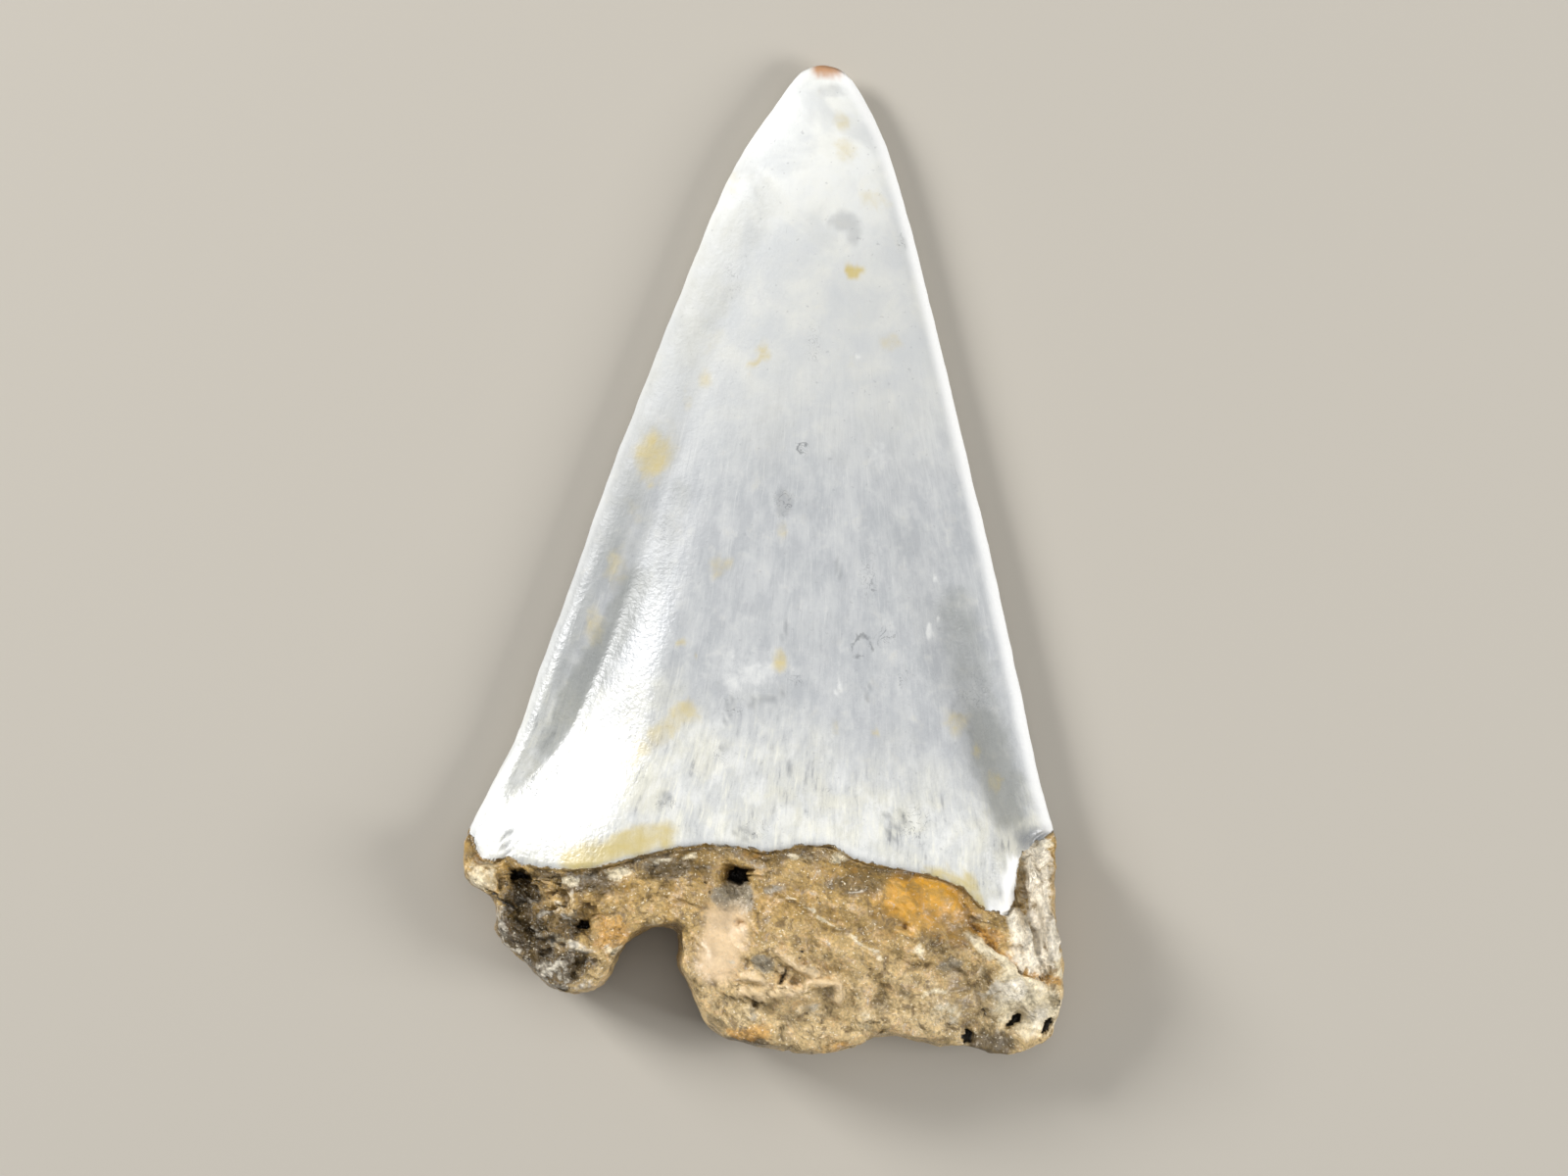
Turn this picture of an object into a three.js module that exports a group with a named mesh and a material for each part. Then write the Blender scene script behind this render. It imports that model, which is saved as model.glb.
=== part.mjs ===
// Fossil tooth of a broad-toothed mako shark, in millimetres: a flat triangular crown of enamel on a worn
// root of dentine, with a gap where the root has broken away. The tooth is one natural piece, so it is one
// mesh. It lies on its flat outer (labial) face, with the domed inner (lingual) face up: +Y runs from the
// root to the tip, +X to the right seen from above, and +Z up. The origin is below the middle of the tooth,
// on the surface it rests on. While it is shaped, y is counted from the lowest point of the root.
import * as THREE from "three";

// ---- Driving dimensions -------------------------------------------------------------------------------
const toothLength = 64; // from the tip to the lowest point of the root
const edgeBevel = 0.85; // rise of the enamel just inside a cutting edge
const edgeBevelWidth = 0.6;
const troughDepth = 0.2; // trough along the right edge of the blade's inner face, towards the base
const enamelLip = 0.18; // the enamel's lower border stands this far over the general surface,
const rootStep = 0.16; // and the root starts this far under it
const stepWidth = 0.14; // plan width of the ledge between them
const rootRounding = 1.3; // rounding of the root's border, in plan
const breakRounding = 0.5; // the same on the broken walls of the gap
const columns = 40; // faces across the tooth
const crownRows = 33; // faces along the crown, on each side
const rootRows = 23; // faces along the root, on each side
const relaxingRounds = 150;

const enamelColour = new THREE.Color("#b4bac3");
const rootColour = new THREE.Color("#8f7350");

const { clamp, lerp, smoothstep } = THREE.MathUtils;

// ---- Outline, seen from above -------------------------------------------------------------------------
// Each stretch is a smooth curve through [x, y] points. The stretches meet at four corners: the two ends of
// the worn tip, and the two lower corners of the root.
function curveThrough(points) {
  const knots = points.map(([x, y]) => new THREE.Vector3(x, y, 0));
  const curve = new THREE.CatmullRomCurve3(knots, false, "centripetal");
  curve.arcLengthDivisions = 600;
  return curve;
}

const wornTip = curveThrough([[2, 63.1], [2.5, 63.6], [3.8, 64], [5.1, 63.6], [5.6, 63.1]]);

const leftEdgePoints = [
  [2, 63.1], [0.2, 60.6], [-1.5, 58.1], [-2.8, 55.6], [-5.4, 49.2], [-7.9, 42.9],
  [-10.3, 36.6], [-12.5, 30.3], [-14.8, 24], [-16.1, 20.2], [-17.5, 17.7], [-19, 14.7],
];
const rightEdgePoints = [
  [5.6, 63.1], [6.4, 61.9], [7.7, 59.3], [8.9, 55.6], [10.6, 49.2], [12.1, 42.9],
  [13.6, 36.6], [15.1, 30.3], [16.5, 24], [17.8, 17.7], [18.6, 14.9],
];
const leftEdge = curveThrough(leftEdgePoints);
const rightEdge = curveThrough(rightEdgePoints);

// Down the left flank: the knob under the enamel's corner, the crease below it, and the left lobe.
const rootLeftFlank = curveThrough([
  [-19, 14.7], [-19.4, 13.5], [-19.5, 12.4], [-19.2, 11.4], [-18.2, 10.7],
  [-17.4, 10.1], [-17.3, 9.3], [-17.5, 8.6], [-17.1, 7.6], [-16, 6.6],
]);
const rootRightFlank = curveThrough([
  [18.6, 14.9], [18.9, 13.2], [18.8, 11], [18.9, 8.9], [19.3, 7.3], [19.5, 5.6],
  [19.4, 3.7], [18.7, 1.5],
]);
// Along the bottom: the left lobe's end, up round the gap, then the long worn base of the main lobe.
const rootBase = curveThrough([
  [-16, 6.6], [-14.9, 5.6], [-13.7, 4.5], [-12.2, 3.8], [-10.8, 4.2], [-9.8, 4.9],
  [-9.4, 6.2], [-8.6, 7.7], [-7.5, 8.3], [-6, 8.6], [-5.3, 8.1], [-5.5, 6.6],
  [-5.8, 5.1], [-4.6, 4.6], [-4.5, 3.4], [-4.1, 2], [-3.5, 1.3], [-1.5, 0.8],
  [0.7, 0.4], [3.2, 0], [5.4, 0.4], [7, 1.3], [9.2, 1.3], [11.1, 0.6],
  [12.9, 0.8], [14.6, 0.1], [16.1, 0.1], [17.7, 0.6], [18.7, 1.5],
]);

// Lower border of the enamel on each face. On the inner face it climbs at the right, where a corner of the
// enamel has flaked off; on the outer face it reaches a little further down the root.
const innerEnamelBorder = curveThrough([
  [-19, 14.7], [-18.7, 13.7], [-18.1, 12.8], [-17.3, 12.6], [-16.4, 13], [-15.5, 12.5],
  [-12.9, 12.2], [-10.3, 12.4], [-8.1, 13.1], [-5.9, 13.6], [-3.7, 13.9], [-1.3, 13.7],
  [0.3, 13.3], [2.1, 13.8], [4.5, 13.7], [5.9, 12.8], [8.6, 12.3], [10.9, 11.8],
  [12.8, 11], [14.1, 9.7], [15.5, 9.4], [16.1, 11], [16.3, 12.7], [17.1, 14.1], [18.6, 14.9],
]);
const outerEnamelBorder = curveThrough([
  [-19, 14.7], [-17.4, 12.5], [-14, 11.3], [-9, 11], [-4, 11.7], [1, 12],
  [6, 11.5], [11, 10.8], [15, 10.7], [17.5, 12.4], [18.6, 14.9],
]);

// ---- Heights ------------------------------------------------------------------------------------------
// A smooth value through [place, value] pairs, level beyond both ends.
function valueAlong(pairs) {
  const places = pairs.map(([place]) => place);
  const values = pairs.map(([, value]) => value);
  const curve = new THREE.CubicInterpolant(places, values, 1);
  return (place) => curve.evaluate(place)[0];
}

const swap = ([x, y]) => [y, x];
const bladeLeft = valueAlong([[10, -19.3], ...leftEdgePoints.map(swap).reverse()]);
const bladeRight = valueAlong([[10, 18.8], ...rightEdgePoints.map(swap).reverse()]);

// Side profiles, along y: the ridge of the inner face, the cutting edges, and the crest of the outer face,
// which touches the ground near the root and again two thirds of the way to the tip.
const innerRidge = valueAlong([
  [8, 7.6], [14, 7.1], [20, 6.4], [30, 5.3], [40, 4.5], [48, 4], [56, 3.3], [61, 2.6], [63, 2.1], [64, 1.6],
]);
const bladeRim = valueAlong([[12, 2.4], [18, 2.15], [30, 1.8], [45, 1.45], [55, 1.4], [64, 1.45]]);
const outerCrest = valueAlong([
  [0, 0.5], [3, -0.1], [8, -0.1], [12, 0.3], [18, 0.6], [30, 0.5], [40, 0.15], [47, -0.08], [54, 0.05],
  [60, 0.4], [64, 1],
]);
// Height of the root's border, along x.
const rootRim = valueAlong([[-19.5, 2.3], [-13, 2.5], [-5, 3], [3, 3.5], [12, 3.3], [19.5, 2.8]]);

function rimHeight(x, y) {
  return lerp(rootRim(x), bladeRim(y), smoothstep(y, 11, 15.5));
}

const bell = (distance, radius) => Math.exp(-((distance / radius) ** 2));

// Where a point lies between the two cutting edges: 0 on the middle line, 1 on an edge.
function offMiddle(x, y) {
  const left = bladeLeft(y);
  const right = bladeRight(y);
  return Math.min(1, Math.abs((2 * x - left - right) / (right - left)));
}

const bevelRise = (inset) => edgeBevel * (1 - Math.exp(-inset / edgeBevelWidth));

// The inner face of the blade is a shallow dome. Towards the base a raised middle stands on it, whose sloping
// shoulders leave a trough along each edge. The left shoulder is the broader one.
const shoulderRise = valueAlong([[10, 2.1], [18, 2], [24, 1.5], [30, 0.8], [36, 0.35], [42, 0.12], [50, 0]]);
const leftFoot = valueAlong([
  [12, 1.02], [16, 0.93], [20, 0.84], [24, 0.78], [33, 0.72], [42, 0.66], [50, 0.6],
]);
const leftCrest = valueAlong([
  [12, 0.5], [16, 0.44], [20, 0.42], [24, 0.46], [33, 0.42], [42, 0.34], [50, 0.3],
]);
const rightFoot = valueAlong([
  [12, 0.95], [16, 0.93], [20, 0.9], [24, 0.84], [33, 0.76], [42, 0.66], [50, 0.6],
]);
const rightCrest = valueAlong([
  [12, 0.78], [16, 0.75], [20, 0.7], [24, 0.62], [33, 0.48], [42, 0.36], [50, 0.3],
]);

// The left trough is deepest at the shoulder's foot, and falls to it slowly from the edge.
const leftTroughDepth = valueAlong([
  [14, 0.05], [17, 0.22], [20, 0.36], [26, 0.36], [32, 0.2], [40, 0.06], [48, 0],
]);

function troughAt(off, y, onLeft) {
  if (onLeft) {
    const beyondFoot = off - leftFoot(y) + 0.02;
    return leftTroughDepth(y) * bell(beyondFoot, beyondFoot > 0 ? 0.1 : 0.055);
  }
  return troughDepth * (1 - smoothstep(y, 24, 44)) * bell(off - 0.88, 0.08);
}

function bladeTop(x, y, inset) {
  const off = offMiddle(x, y);
  const rim = rimHeight(x, y);
  const onLeft = 2 * x < bladeLeft(y) + bladeRight(y);
  const foot = onLeft ? leftFoot(y) : rightFoot(y);
  const crest = onLeft ? leftCrest(y) : rightCrest(y);
  const up = clamp((foot - off) / (foot - crest), 0, 1);
  const shoulder = shoulderRise(y) * lerp(up, smoothstep(up, 0, 1), 0.6);
  const dome = (innerRidge(y) - rim - edgeBevel - shoulderRise(y)) * (1 - off ** 2) ** 1.6;
  return rim + bevelRise(inset) + dome + shoulder - troughAt(off, y, onLeft);
}

// The outer face is nearly flat between its bevelled edges, and worn flat where it touches the ground.
function bladeUnderside(x, y, inset) {
  const share = (1 - offMiddle(x, y) ** 2) ** 0.8;
  const rim = rimHeight(x, y);
  return rim - bevelRise(inset) - (rim - edgeBevel - outerCrest(y)) * share;
}

// ---- The root's relief --------------------------------------------------------------------------------
// Each round feature is a lump, or a pit where its height is negative.
const lumps = [
  { x: 1, y: 9.5, radius: 7, height: 1.1 }, // swelling under the crown
  { x: -17.9, y: 12.2, radius: 1.4, height: 1 }, // knob at the left corner
  { x: -15.7, y: 11.7, radius: 0.9, height: -1.5 }, // deep hole beside the knob
  { x: -14.6, y: 10.1, radius: 1.6, height: -0.8 }, // hollow below it
  { x: -11.4, y: 8.7, radius: 0.8, height: -0.9 },
  { x: -13.5, y: 5.9, radius: 1.4, height: 0.7 }, // shiny lump on the left lobe
  { x: -1.7, y: 11.9, radius: 1.05, height: -1.5 }, // nutrient foramen
  { x: 10.4, y: 9.6, radius: 2.6, height: 0.5 }, // smooth boss under the enamel
  { x: 16.2, y: 4.6, radius: 2.4, height: 0.7 }, // swelling of the right corner
  { x: 1.3, y: 5.5, radius: 0.8, height: -0.6 },
  { x: 16.1, y: 2.5, radius: 0.9, height: -1 }, // pits in the right corner
  { x: 18.1, y: 2.3, radius: 0.7, height: -0.6 },
  { x: 14, y: 1, radius: 1.6, height: -0.8 },
  { x: -6.8, y: 9.8, radius: 2.2, height: -0.7 }, // slope down to the top of the gap
];
// Each long feature runs between two points: a furrow, or a fold where its height is positive.
const furrows = [
  { from: [-1.8, 11.2], to: [-3, 6.4], radius: 1.3, height: -0.55 }, // nutrient groove below the foramen
  { from: [13.2, 8.6], to: [18.2, 5.1], radius: 0.6, height: -0.6 }, // crack under the flaked corner
  { from: [12.4, 7.7], to: [17.6, 4.3], radius: 0.8, height: 0.45 }, // raised lip along it
  { from: [16.4, 11], to: [17.4, 6.8], radius: 0.5, height: -0.5 }, // fold in the flaked corner
  { from: [17.8, 11.5], to: [18.4, 6.6], radius: 0.5, height: 0.4 },
  { from: [0.5, 4.6], to: [4.6, 5], radius: 0.6, height: 0.4 }, // vein across the main lobe
  { from: [-14.5, 9], to: [-10, 6.6], radius: 0.6, height: 0.4 }, // folds in the left lobe
  { from: [-16.4, 8.2], to: [-14, 6.6], radius: 0.6, height: -0.4 },
];

function distanceToStretch(x, y, [x0, y0], [x1, y1]) {
  const reach = (x1 - x0) ** 2 + (y1 - y0) ** 2;
  const along = clamp(((x - x0) * (x1 - x0) + (y - y0) * (y1 - y0)) / reach, 0, 1);
  return Math.hypot(x - lerp(x0, x1, along), y - lerp(y0, y1, along));
}

// Uneven weathering: crossed waves two to four millimetres long, with no common period.
function weathering(x, y) {
  const broad = Math.sin(1.7 * x + 0.9 * y) * Math.sin(1.3 * y - 0.6 * x + 1.1);
  const fine = Math.sin(3.1 * x - 1.9 * y + 0.7) * Math.sin(2.7 * y + 1.2 * x);
  return 0.16 * broad + 0.11 * fine;
}

function rootRelief(x, y) {
  let height = weathering(x, y);
  for (const lump of lumps) {
    height += lump.height * bell(Math.hypot(x - lump.x, y - lump.y), lump.radius);
  }
  for (const furrow of furrows) {
    height += furrow.height * bell(distanceToStretch(x, y, furrow.from, furrow.to), furrow.radius);
  }
  return height;
}

// Height of the root's inner face away from its border: lower on the left lobe and towards the right corner,
// and sloping down to the base.
function rootBody(x, y) {
  const leftDrop = 2.1 * (1 - smoothstep(x, -13, -7));
  const rightDrop = 2 * smoothstep(x, 8, 18);
  const baseDrop = 0.24 * Math.max(0, 7 - y);
  return 7.5 - leftDrop - rightDrop - baseDrop;
}

// A quarter round: 0 on the border, 1 from the rounding's width inwards.
function quarterRound(inset, width) {
  const t = clamp(inset / width, 0, 1);
  return Math.sqrt(1 - (1 - t) ** 2);
}

const gapMiddle = [-7.4, 6];
function roundingAt(x, y) {
  const besideGap = bell(Math.hypot(x - gapMiddle[0], y - gapMiddle[1]), 4);
  return lerp(rootRounding, breakRounding, besideGap);
}

// Each face of the root turns from the blade's height at the enamel's border to its own over a few
// millimetres below it. Its relief starts nearer the border.
function rootTop(x, y, inset, below) {
  const rim = rimHeight(x, y);
  const own = rim + (rootBody(x, y) - rim) * quarterRound(inset, roundingAt(x, y));
  const relief = rootRelief(x, y) * quarterRound(inset, roundingAt(x, y)) * smoothstep(below, 0, 0.9);
  const blade = bladeTop(x, y, inset) - rootStep * Math.min(1, inset);
  return lerp(blade, own, smoothstep(below, 0, 3.5)) + relief;
}

// The root's outer face is flat along the middle and turns up a little towards both ends.
function rootUnderside(x, y, inset, below) {
  const rim = rimHeight(x, y);
  const floor = outerCrest(y) - 0.15 + 0.0035 * x ** 2 + 0.35 * weathering(x + 5, y);
  const own = rim - (rim - floor) * quarterRound(inset, roundingAt(x, y));
  const blade = bladeUnderside(x, y, inset) + rootStep * Math.min(1, inset);
  return lerp(blade, own, smoothstep(below, 0, 3));
}

// ---- Faces --------------------------------------------------------------------------------------------
// Fractions from 0 to 1, closer together at both ends by the share given.
function gradedSteps(count, crowding) {
  return Array.from({ length: count + 1 }, (_, i) => {
    const t = i / count;
    return t - (crowding * Math.sin(2 * Math.PI * t)) / (2 * Math.PI);
  });
}

const across = gradedSteps(columns, 0.35);
const crownDown = gradedSteps(crownRows, 0.25);
const rootDown = gradedSteps(rootRows, 0.25);

const pointsAlong = (curve, steps) => steps.map((step) => curve.getPointAt(step));

// A grid of points inside four sides, each side a row of points. The first guess blends the sides, and is
// then relaxed until the grid runs smoothly into every corner without crossing itself.
function gridInside(top, bottom, left, right, down) {
  const rows = down.map((v, j) =>
    across.map((u, i) => {
      const point = new THREE.Vector3();
      point.addScaledVector(top[i], 1 - v).addScaledVector(bottom[i], v);
      point.addScaledVector(left[j], 1 - u).addScaledVector(right[j], u);
      point.addScaledVector(top[0], -(1 - u) * (1 - v)).addScaledVector(top.at(-1), -u * (1 - v));
      point.addScaledVector(bottom[0], -(1 - u) * v).addScaledVector(bottom.at(-1), -u * v);
      return point;
    }),
  );
  for (let round = 0; round < relaxingRounds; round += 1) {
    for (let j = 1; j < down.length - 1; j += 1) {
      for (let i = 1; i < across.length - 1; i += 1) {
        relax(rows, down, i, j);
      }
    }
  }
  return rows;
}

// Moves one point to where the grid's lines through it are evenly bent, for steps of uneven length.
function relax(rows, down, i, j) {
  const [before, after] = [across[i] - across[i - 1], across[i + 1] - across[i]];
  const [above, below] = [down[j] - down[j - 1], down[j + 1] - down[j]];
  const [w, e, n, s] = [rows[j][i - 1], rows[j][i + 1], rows[j - 1][i], rows[j + 1][i]];
  const alongRow = e.clone().sub(w).divideScalar(before + after);
  const alongColumn = s.clone().sub(n).divideScalar(above + below);
  const twist = rows[j + 1][i + 1].clone().add(rows[j - 1][i - 1]);
  twist.sub(rows[j + 1][i - 1]).sub(rows[j - 1][i + 1]);
  const rowWeight = alongColumn.lengthSq() / (before * after);
  const columnWeight = alongRow.lengthSq() / (above * below);
  const twistWeight = alongRow.dot(alongColumn) / ((before + after) * (above + below));
  rows[j][i]
    .set(0, 0, 0)
    .addScaledVector(e, (rowWeight * before) / (before + after))
    .addScaledVector(w, (rowWeight * after) / (before + after))
    .addScaledVector(s, (columnWeight * above) / (above + below))
    .addScaledVector(n, (columnWeight * below) / (above + below))
    .addScaledVector(twist, -twistWeight)
    .divideScalar(rowWeight + columnWeight);
}

const outline = [wornTip, leftEdge, rightEdge, rootLeftFlank, rootRightFlank, rootBase].map((stretch) =>
  stretch.getSpacedPoints(90),
);

function insetFromOutline({ x, y }) {
  let nearest = Infinity;
  for (const stretch of outline) {
    for (let i = 1; i < stretch.length; i += 1) {
      const from = stretch[i - 1];
      const to = stretch[i];
      nearest = Math.min(nearest, distanceToStretch(x, y, [from.x, from.y], [to.x, to.y]));
    }
  }
  return nearest;
}

// One face of the tooth as rows of points from the tip to the base of the root: the crown's rows, then the
// root's, which start a short ledge away from the enamel's border.
function faceRows(enamelBorder, bladeHeight, rootHeight, outward) {
  const lip = pointsAlong(enamelBorder, across);
  const leftDown = rootDown.map((step) => lerp(stepWidth / rootLeftFlank.getLength(), 1, step));
  const rightDown = rootDown.map((step) => lerp(stepWidth / rootRightFlank.getLength(), 1, step));
  const rootLeft = pointsAlong(rootLeftFlank, leftDown);
  const rootRight = pointsAlong(rootRightFlank, rightDown);
  const ledge = lip.map((point, i) => {
    const along = enamelBorder.getTangentAt(across[i]);
    return new THREE.Vector3(point.x + stepWidth * along.y, point.y - stepWidth * along.x, 0);
  });
  ledge[0] = rootLeft[0];
  ledge[columns] = rootRight[0];

  const sides = [pointsAlong(leftEdge, crownDown), pointsAlong(rightEdge, crownDown)];
  const crown = gridInside(pointsAlong(wornTip, across), lip, ...sides, crownDown);
  const root = gridInside(ledge, pointsAlong(rootBase, across), rootLeft, rootRight, rootDown);
  crown.forEach((row, j) =>
    row.forEach((point, i) => {
      const inset = insetFromOutline(point);
      const rise = enamelLip * smoothstep(crownDown[j], 0.9, 1) * Math.min(1, inset);
      point.z = bladeHeight(point.x, point.y, inset) + outward * rise;
      if (j === 0 || i === 0 || i === columns) {
        point.z = rimHeight(point.x, point.y);
      }
    }),
  );
  root.forEach((row, j) =>
    row.forEach((point, i) => {
      const below = Math.hypot(point.x - ledge[i].x, point.y - ledge[i].y);
      point.z = rootHeight(point.x, point.y, insetFromOutline(point), below);
      if (j === rootRows || i === 0 || i === columns) {
        point.z = rimHeight(point.x, point.y);
      }
    }),
  );
  const rows = [...crown, ...root];
  rows.flat().forEach((point) => {
    point.z = Math.max(0, point.z);
  });
  return rows;
}

// ---- The tooth ----------------------------------------------------------------------------------------
function toothGeometry() {
  const inner = faceRows(innerEnamelBorder, bladeTop, rootTop, 1);
  const outer = faceRows(outerEnamelBorder, bladeUnderside, rootUnderside, -1);
  const positions = [];
  const colours = [];
  const index = [];
  const addFace = (rows, facesUp) => {
    const first = positions.length / 3;
    rows.forEach((row, j) => {
      const colour = j <= crownRows ? enamelColour : rootColour;
      for (const { x, y, z } of row) {
        positions.push(x, y, z);
        colours.push(colour.r, colour.g, colour.b);
      }
    });
    const at = (i, j) => first + j * (columns + 1) + i;
    for (let j = 1; j < rows.length; j += 1) {
      for (let i = 1; i <= columns; i += 1) {
        const corners = [at(i - 1, j - 1), at(i - 1, j), at(i, j), at(i, j - 1)];
        const [a, b, c, d] = facesUp ? corners : corners.reverse();
        index.push(a, b, c, a, c, d);
      }
    }
  };
  addFace(inner, true);
  addFace(outer, false);
  const geometry = new THREE.BufferGeometry();
  geometry.setAttribute("position", new THREE.Float32BufferAttribute(positions, 3));
  geometry.setAttribute("color", new THREE.Float32BufferAttribute(colours, 3));
  geometry.setIndex(index);
  return geometry;
}

function makeTooth() {
  const geometry = toothGeometry();
  geometry.computeVertexNormals();
  const fossil = new THREE.MeshStandardMaterial({ vertexColors: true, roughness: 0.35, metalness: 0 });
  const tooth = new THREE.Mesh(geometry, fossil);
  tooth.name = "tooth";
  tooth.position.y = -toothLength / 2;
  return tooth;
}

const fossilTooth = new THREE.Group();
fossilTooth.add(makeTooth());

export default fossilTooth;
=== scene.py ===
import math

import bpy
import numpy as np
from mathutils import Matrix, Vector, kdtree, noise


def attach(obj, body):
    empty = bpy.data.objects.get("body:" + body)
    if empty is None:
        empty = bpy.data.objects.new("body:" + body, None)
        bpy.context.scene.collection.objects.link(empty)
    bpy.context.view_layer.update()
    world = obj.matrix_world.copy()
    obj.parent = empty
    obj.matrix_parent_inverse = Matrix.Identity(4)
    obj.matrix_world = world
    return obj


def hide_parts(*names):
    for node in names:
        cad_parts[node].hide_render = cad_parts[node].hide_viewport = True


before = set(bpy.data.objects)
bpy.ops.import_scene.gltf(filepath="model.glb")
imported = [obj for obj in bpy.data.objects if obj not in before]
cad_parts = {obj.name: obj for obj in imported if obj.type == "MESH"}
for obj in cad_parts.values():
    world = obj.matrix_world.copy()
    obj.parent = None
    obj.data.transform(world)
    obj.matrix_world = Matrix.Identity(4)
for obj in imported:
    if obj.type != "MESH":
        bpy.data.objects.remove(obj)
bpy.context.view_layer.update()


# The tooth: the fossil tooth of a broad-toothed mako shark, one natural piece. A glossy skin of enamel
# covers the crown down to the two cutting edges, and below it the root is bare dentine, turned to stone
# and worn by sand. It starts from the solid's own mesh, made into quads and smoothed.
same_point = 1e-6
sharp_angle = math.radians(70)
sharp_crease = 0.6
subdivisions = 2
tooth = bpy.data.objects.new("fossil_tooth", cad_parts["tooth"].data.copy())
bpy.context.collection.objects.link(tooth)
bpy.ops.object.select_all(action="DESELECT")
bpy.context.view_layer.objects.active = tooth
tooth.select_set(True)
bpy.ops.object.mode_set(mode="EDIT")
bpy.ops.mesh.select_all(action="SELECT")
bpy.ops.mesh.customdata_custom_splitnormals_clear()
bpy.ops.mesh.remove_doubles(threshold=same_point)
bpy.ops.mesh.tris_convert_to_quads(
    face_threshold=math.pi, shape_threshold=math.pi, topology_influence=2.0
)
bpy.ops.mesh.select_all(action="DESELECT")
bpy.ops.mesh.edges_select_sharp(sharpness=sharp_angle)
bpy.ops.transform.edge_crease(value=sharp_crease)
bpy.ops.object.mode_set(mode="OBJECT")
smoothing = tooth.modifiers.new("smoothing", "SUBSURF")
smoothing.levels = subdivisions
smoothing.render_levels = subdivisions
bpy.ops.object.modifier_apply(modifier="smoothing")
bpy.ops.object.shade_smooth()

# From here the surface is carved point by point, as with a small burr. All lengths are in millimetres:
# x runs across the tooth, y up to the tip, and z out of the inner face, which lies upwards.
mm_per_metre = 1000
mesh = tooth.data
count = len(mesh.vertices)
places = np.empty(count * 3)
mesh.vertices.foreach_get("co", places)
places = places.reshape(count, 3) * mm_per_metre
facing = np.empty(count * 3)
mesh.vertices.foreach_get("normal", facing)
facing = facing.reshape(count, 3)
x, y, z = places.T.copy()
tilt_up = facing[:, 2]


def ramp(low, high, value):
    """A smooth step from 0 at low to 1 at high."""
    share = np.clip((value - low) / (high - low), 0, 1)
    return share * share * (3 - 2 * share)


def lump_places(size, stretch, turn, shift):
    """Each point's place in a pattern: lumps of a size in mm, drawn out along a direction in degrees."""
    turn = math.radians(turn)
    along = (x * math.cos(turn) + y * math.sin(turn)) / (size * stretch)
    across = (y * math.cos(turn) - x * math.sin(turn)) / size
    return [Vector(spot) for spot in np.stack([along + shift, across, z / size], axis=1)]


def grain(size, octaves=3, stretch=1.0, turn=0.0, shift=0.0):
    """Lumpy noise of about -1 to 1. The shift sets patterns of one size apart from each other."""
    falloff, finer = 1.0, 2.0
    spots = lump_places(size, stretch, turn, shift)
    return np.array([noise.fractal(spot, falloff, finer, octaves) for spot in spots])


def chips(size, stretch=1.0, turn=0.0, shift=0.0):
    """Broken facets: cells of a size in mm, each tilted its own way, about -0.5 to 0.5 high."""
    neighbours_apart = 7.3
    level = Vector((0.5, 0.5, 0.5))
    heights = np.empty(count)
    for number, spot in enumerate(lump_places(size, stretch, turn, shift)):
        middle = noise.voronoi(spot)[1][0]
        tilt = noise.cell_vector(middle * neighbours_apart) - level
        heights[number] = (spot - middle).dot(tilt)
    return heights


# A line or a mark that was worn into the tooth is never quite straight or round, so places are looked
# up a little off, by noise.
waver = 0.3
bend = grain(0.9, 3, 1, 0, 31)
bent_x = x + waver * bend
bent_y = y + waver * grain(0.9, 3, 1, 0, 41)


def distance_to(route, near_x=x, near_y=y):
    """The distance in mm from each point to a line through a few places, seen from above."""
    nearest = np.full(count, 1e9)
    for (ax, ay), (bx, by) in zip(route, route[1:]):
        share = ((near_x - ax) * (bx - ax) + (near_y - ay) * (by - ay)) / ((bx - ax) ** 2 + (by - ay) ** 2)
        share = np.clip(share, 0, 1)
        away = np.hypot(near_x - ax - share * (bx - ax), near_y - ay - share * (by - ay))
        nearest = np.minimum(nearest, away)
    return nearest


def in_oval(middle_x, middle_y, half_width, half_height, near_x=x, near_y=y):
    """Where each point lies in an oval, seen from above: 0 at its middle and 1 at its edge."""
    return np.hypot((near_x - middle_x) / half_width, (near_y - middle_y) / half_height)


def distance_to_points(chosen, spots):
    """The distance in mm from each spot to the nearest of the chosen ones."""
    tree = kdtree.KDTree(len(chosen))
    for number in chosen:
        tree.insert(spots[number], int(number))
    tree.balance()
    return np.array([tree.find(spot)[2] for spot in spots])


# How far each point lies inside the enamel: the border is a wavy line across each face, and the
# distance is counted from it, positive on the crown and negative on the root.
inner_border = [
    (-19.0, -17.3), (-18.7, -18.3), (-18.1, -19.2), (-17.3, -19.4), (-16.4, -19.0), (-15.5, -19.5),
    (-12.9, -19.8), (-10.3, -19.6), (-8.1, -18.9), (-5.9, -18.4), (-3.7, -18.1), (-1.3, -18.3),
    (0.3, -18.7), (2.1, -18.2), (4.5, -18.3), (5.9, -19.2), (8.6, -19.7), (10.9, -20.2), (12.8, -21.0),
    (14.1, -22.3), (15.6, -22.7), (16.1, -21.9), (16.2, -20.3), (16.5, -18.8), (17.2, -18.4),
    (18.4, -17.6), (19.2, -17.2),
]
outer_border = [
    (-19.0, -17.3), (-17.4, -19.5), (-14.0, -20.7), (-9.0, -21.0), (-4.0, -20.3), (1.0, -20.0),
    (6.0, -20.5), (11.0, -21.2), (15.0, -21.3), (17.5, -19.6), (18.6, -17.1),
]
upward = ramp(-0.15, 0.3, tilt_up)
downward = 1 - ramp(-0.3, 0.15, tilt_up)
inside = []
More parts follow.
